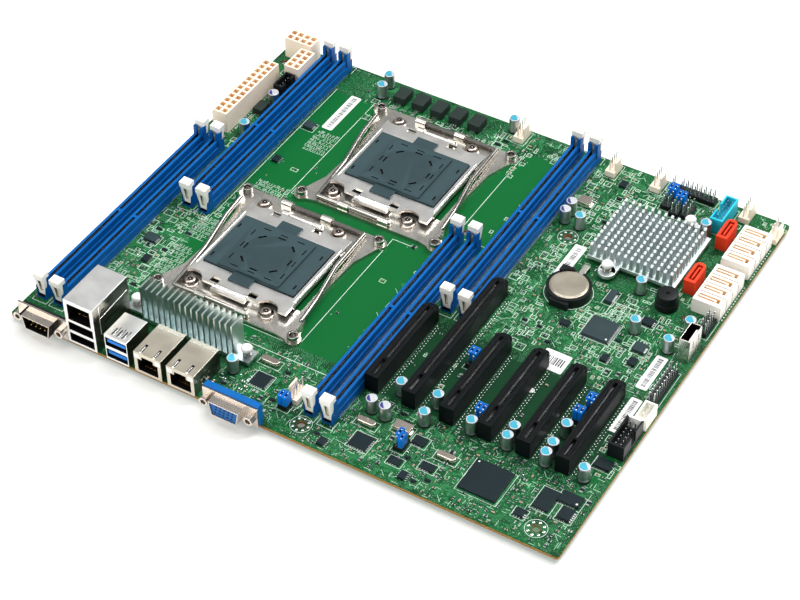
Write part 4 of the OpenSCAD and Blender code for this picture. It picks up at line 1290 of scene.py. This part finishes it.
def chip_leads():
    """Legs around the flat packs and chokes, and the white orientation dots."""
    legs = Shape()
    for lo, hi in solid_boxes("chips"):
        w, d = hi.x - lo.x, hi.y - lo.y
        if w > 18:
            legs.ring(lo.x - 0.5, lo.y - 0.5, hi.x + 0.5, hi.y + 0.5, 0.5, 0, 0.3, 2)
            legs.lathe(lo.x + 1.6, hi.y - 1.6, [(0.5, hi.z, 1), (0.5, hi.z + 0.02, 1)], 12)
        elif hi.z < 1.9:
            pitch = 0.6 if w > 12 else LEG_PITCH
            pack_legs(legs, lo, hi, False, pitch)
            if w > 12 or abs(w - d) < 1:
                pack_legs(legs, lo, hi, True, pitch)
            if w > 10:
                legs.lathe(hi.x - 1.5, lo.y + 1.5, [(0.55, hi.z, 1), (0.5, hi.z + 0.03, 1)], 14)
        else:
            for x in (lo.x - 0.5, hi.x - 0.5):
                legs.box(x, lo.y + d * 0.2, 0, 1, d * 0.6, 0.5)
    for lo, hi in solid_boxes("chokes"):
        mid = (lo.x + hi.x) / 2
        for y in (lo.y - 0.5, hi.y - 0.5):
            legs.box(mid - 1.5, y, 0, 3, 1, 0.8)
        if lo.y > 200:
            for y in (lo.y - 3.5, lo.y - 5.7):
                legs.box(mid - 0.9, y, 0, 1.8, 1.1, 1.3)
    legs.piece("chip_legs", ["solder", "silk_white", "track_green"])


def rounded(x0, y0, x1, y1, r, steps=5):
    """Rectangle with round corners."""
    points = []
    left, near, right, far = x0 + r, y0 + r, x1 - r, y1 - r
    for x, y, start in ((right, near, -90), (right, far, 0), (left, far, 90), (left, near, 180)):
        for k in range(steps + 1):
            a = math.radians(start + 90 * k / steps)
            points.append((x + r * math.cos(a), y + r * math.sin(a)))
    return points


def label(paper, ink, x0, y0, x1, y1):
    """Paper label with generic bars."""
    thick = 0.14
    paper.prism(rounded(x0, y0, x1, y1, 0.8), 0, thick)
    upright = y1 - y0 > x1 - x0
    at, end, side, width = (y0, y1, x0, x1 - x0) if upright else (x0, x1, y0, y1 - y0)
    at += 2
    while at < end - 2.2:
        w = rng.choice((0.25, 0.4, 0.6))
        ink.lay(upright, at, side + width * 0.30, thick, w, width * 0.42, FILM)
        at += w + rng.choice((0.3, 0.45, 0.6))


def labels():
    paper = Shape()
    ink = Shape()
    for box in LABEL_BOXES:
        label(paper, ink, *box)
    paper.lathe(246, 84, [(1.6, 0), (1.5, 0.06)], 20)
    paper.piece("labels", ["label_paper"])
    ink.piece("label_bars", ["print_black"])


def plate_rims():
    """Rolled front rim and side ribs of the load plates."""
    z = 5.9
    for side in "ab":
        lo, hi = node_box("load_plate_" + side)
        c = middle(node_box("cover_" + side))
        rims = Shape()
        front = [(-12, -30.6, 0.2), (-10, -30.9, 0.45), (6, -30.9, 0.45), (8, -30.6, 0.2)]
        rims.tube([(c.x + dx, c.y + dy, z + dz) for dx, dy, dz in front], 0.55, 10)
        for x in (lo.x + 1.0, hi.x - 1.0):
            rims.tube([(x, c.y - 22, z), (x, c.y + 22, z)], 0.5, 10)
        rims.piece("plate_rims_" + side, ["bright"], "load_plate_" + side, smooth=True)


# ---------------------------------------------------------------- studio

def aim(place, target):
    """The turn that points a lamp or camera at a target."""
    return (Vector(target) - Vector(place)).to_track_quat("-Z", "Y")


def area_light(name, place, size, power):
    """Soft light aimed at the board's middle."""
    data = bpy.data.lights.new(name, "AREA")
    data.shape = "RECTANGLE"
    data.size, data.size_y = size
    data.energy = power
    lamp = link(name, data)
    lamp.location = place
    lamp.rotation_euler = aim(place, (0, 0, 0)).to_euler()


def pale_floor():
    """Large pale sheet, painted darker with distance as shade, that glows a little more with distance as
    painted light.
    """
    z = min(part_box(n)[0].z for n in ("ilm_backplates", "push_pins")) - 0.8 * MM
    reach = 6.0
    mesh = bpy.data.meshes.new("floor")
    corners = [(-reach, -reach, z), (reach, -reach, z), (reach, reach, z), (-reach, reach, z)]
    mesh.from_pydata(corners, [], [(0, 1, 2, 3)])
    s = Shader("floor_shade_and_glow", "white_plastic")
    paper = s.mix(s.noise(0.004, 2), rgb(232, 232, 228), rgb(238, 238, 236))
    far = s.reach()
    # painted shade: the sheet darkens towards grey between 200 and 800 mm out
    paper = s.mix(s.remap(far, 200, 800), paper, rgb(214, 216, 212))
    s.finish(paper, 0.75, spec=0.1)
    # painted light: the sheet glows, softening the shadows on it
    s.join(paper, s.bsdf.inputs["Emission Color"])
    s.join(s.remap(far, 300, 1600, 0.26, 0.6), s.bsdf.inputs["Emission Strength"])
    mesh.materials.append(s.mat)
    link("floor", mesh)


def white_surround():
    """Surround that is brighter to the camera than it lights the board."""
    world = bpy.data.worlds.new("studio")
    bpy.context.scene.world = world
    world.use_nodes = True
    nodes, links = world.node_tree.nodes, world.node_tree.links
    sky = nodes["Background"]
    sky.inputs["Color"].default_value = (0.93, 0.95, 0.96, 1)
    level = nodes.new("ShaderNodeMapRange")
    level.inputs["To Min"].default_value = 0.4
    level.inputs["To Max"].default_value = 0.86
    links.new(nodes.new("ShaderNodeLightPath").outputs["Is Camera Ray"], level.inputs["Value"])
    links.new(level.outputs["Result"], sky.inputs["Strength"])
    view = bpy.context.scene.view_settings
    view.view_transform = "Standard"
    view.look = "None"


def set_camera():
    data = bpy.data.cameras.new("camera")
    data.sensor_width = 36
    data.lens = 96.8
    camera = link("camera", data)
    camera.location = (0.4073, -0.6774, 0.7382)
    camera.rotation_mode = "QUATERNION"
    roll = Quaternion((0, 0, 1), math.radians(-0.57))
    camera.rotation_quaternion = aim(camera.location, (0.0082, -0.0216, 0.0016)) @ roll
    bpy.context.scene.camera = camera


def studio():
    pale_floor()
    area_light("key", (0.5, 0.9, 1.3), (0.9, 0.7), 21)
    area_light("fill", (-0.9, -1.2, 0.9), (1.0, 0.8), 10)
    area_light("top", (-0.1, 0.0, 1.6), (1.2, 1.2), 15)
    white_surround()
    set_camera()


make_looks()
ground = Ground()
dress_nodes()
capacitor_cans()
pin_fin_block()
spring_pins()
screw_heads()
buzzer_case()
labels()
scatter_parts(ground)
fine_print(ground)
board_tracks()
printed_lines()
hole_pads()
solder_rows()
contacts()
port_gaps()
header_pins()
port_details()
connector_faces()
chip_leads()
plate_rims()
studio()
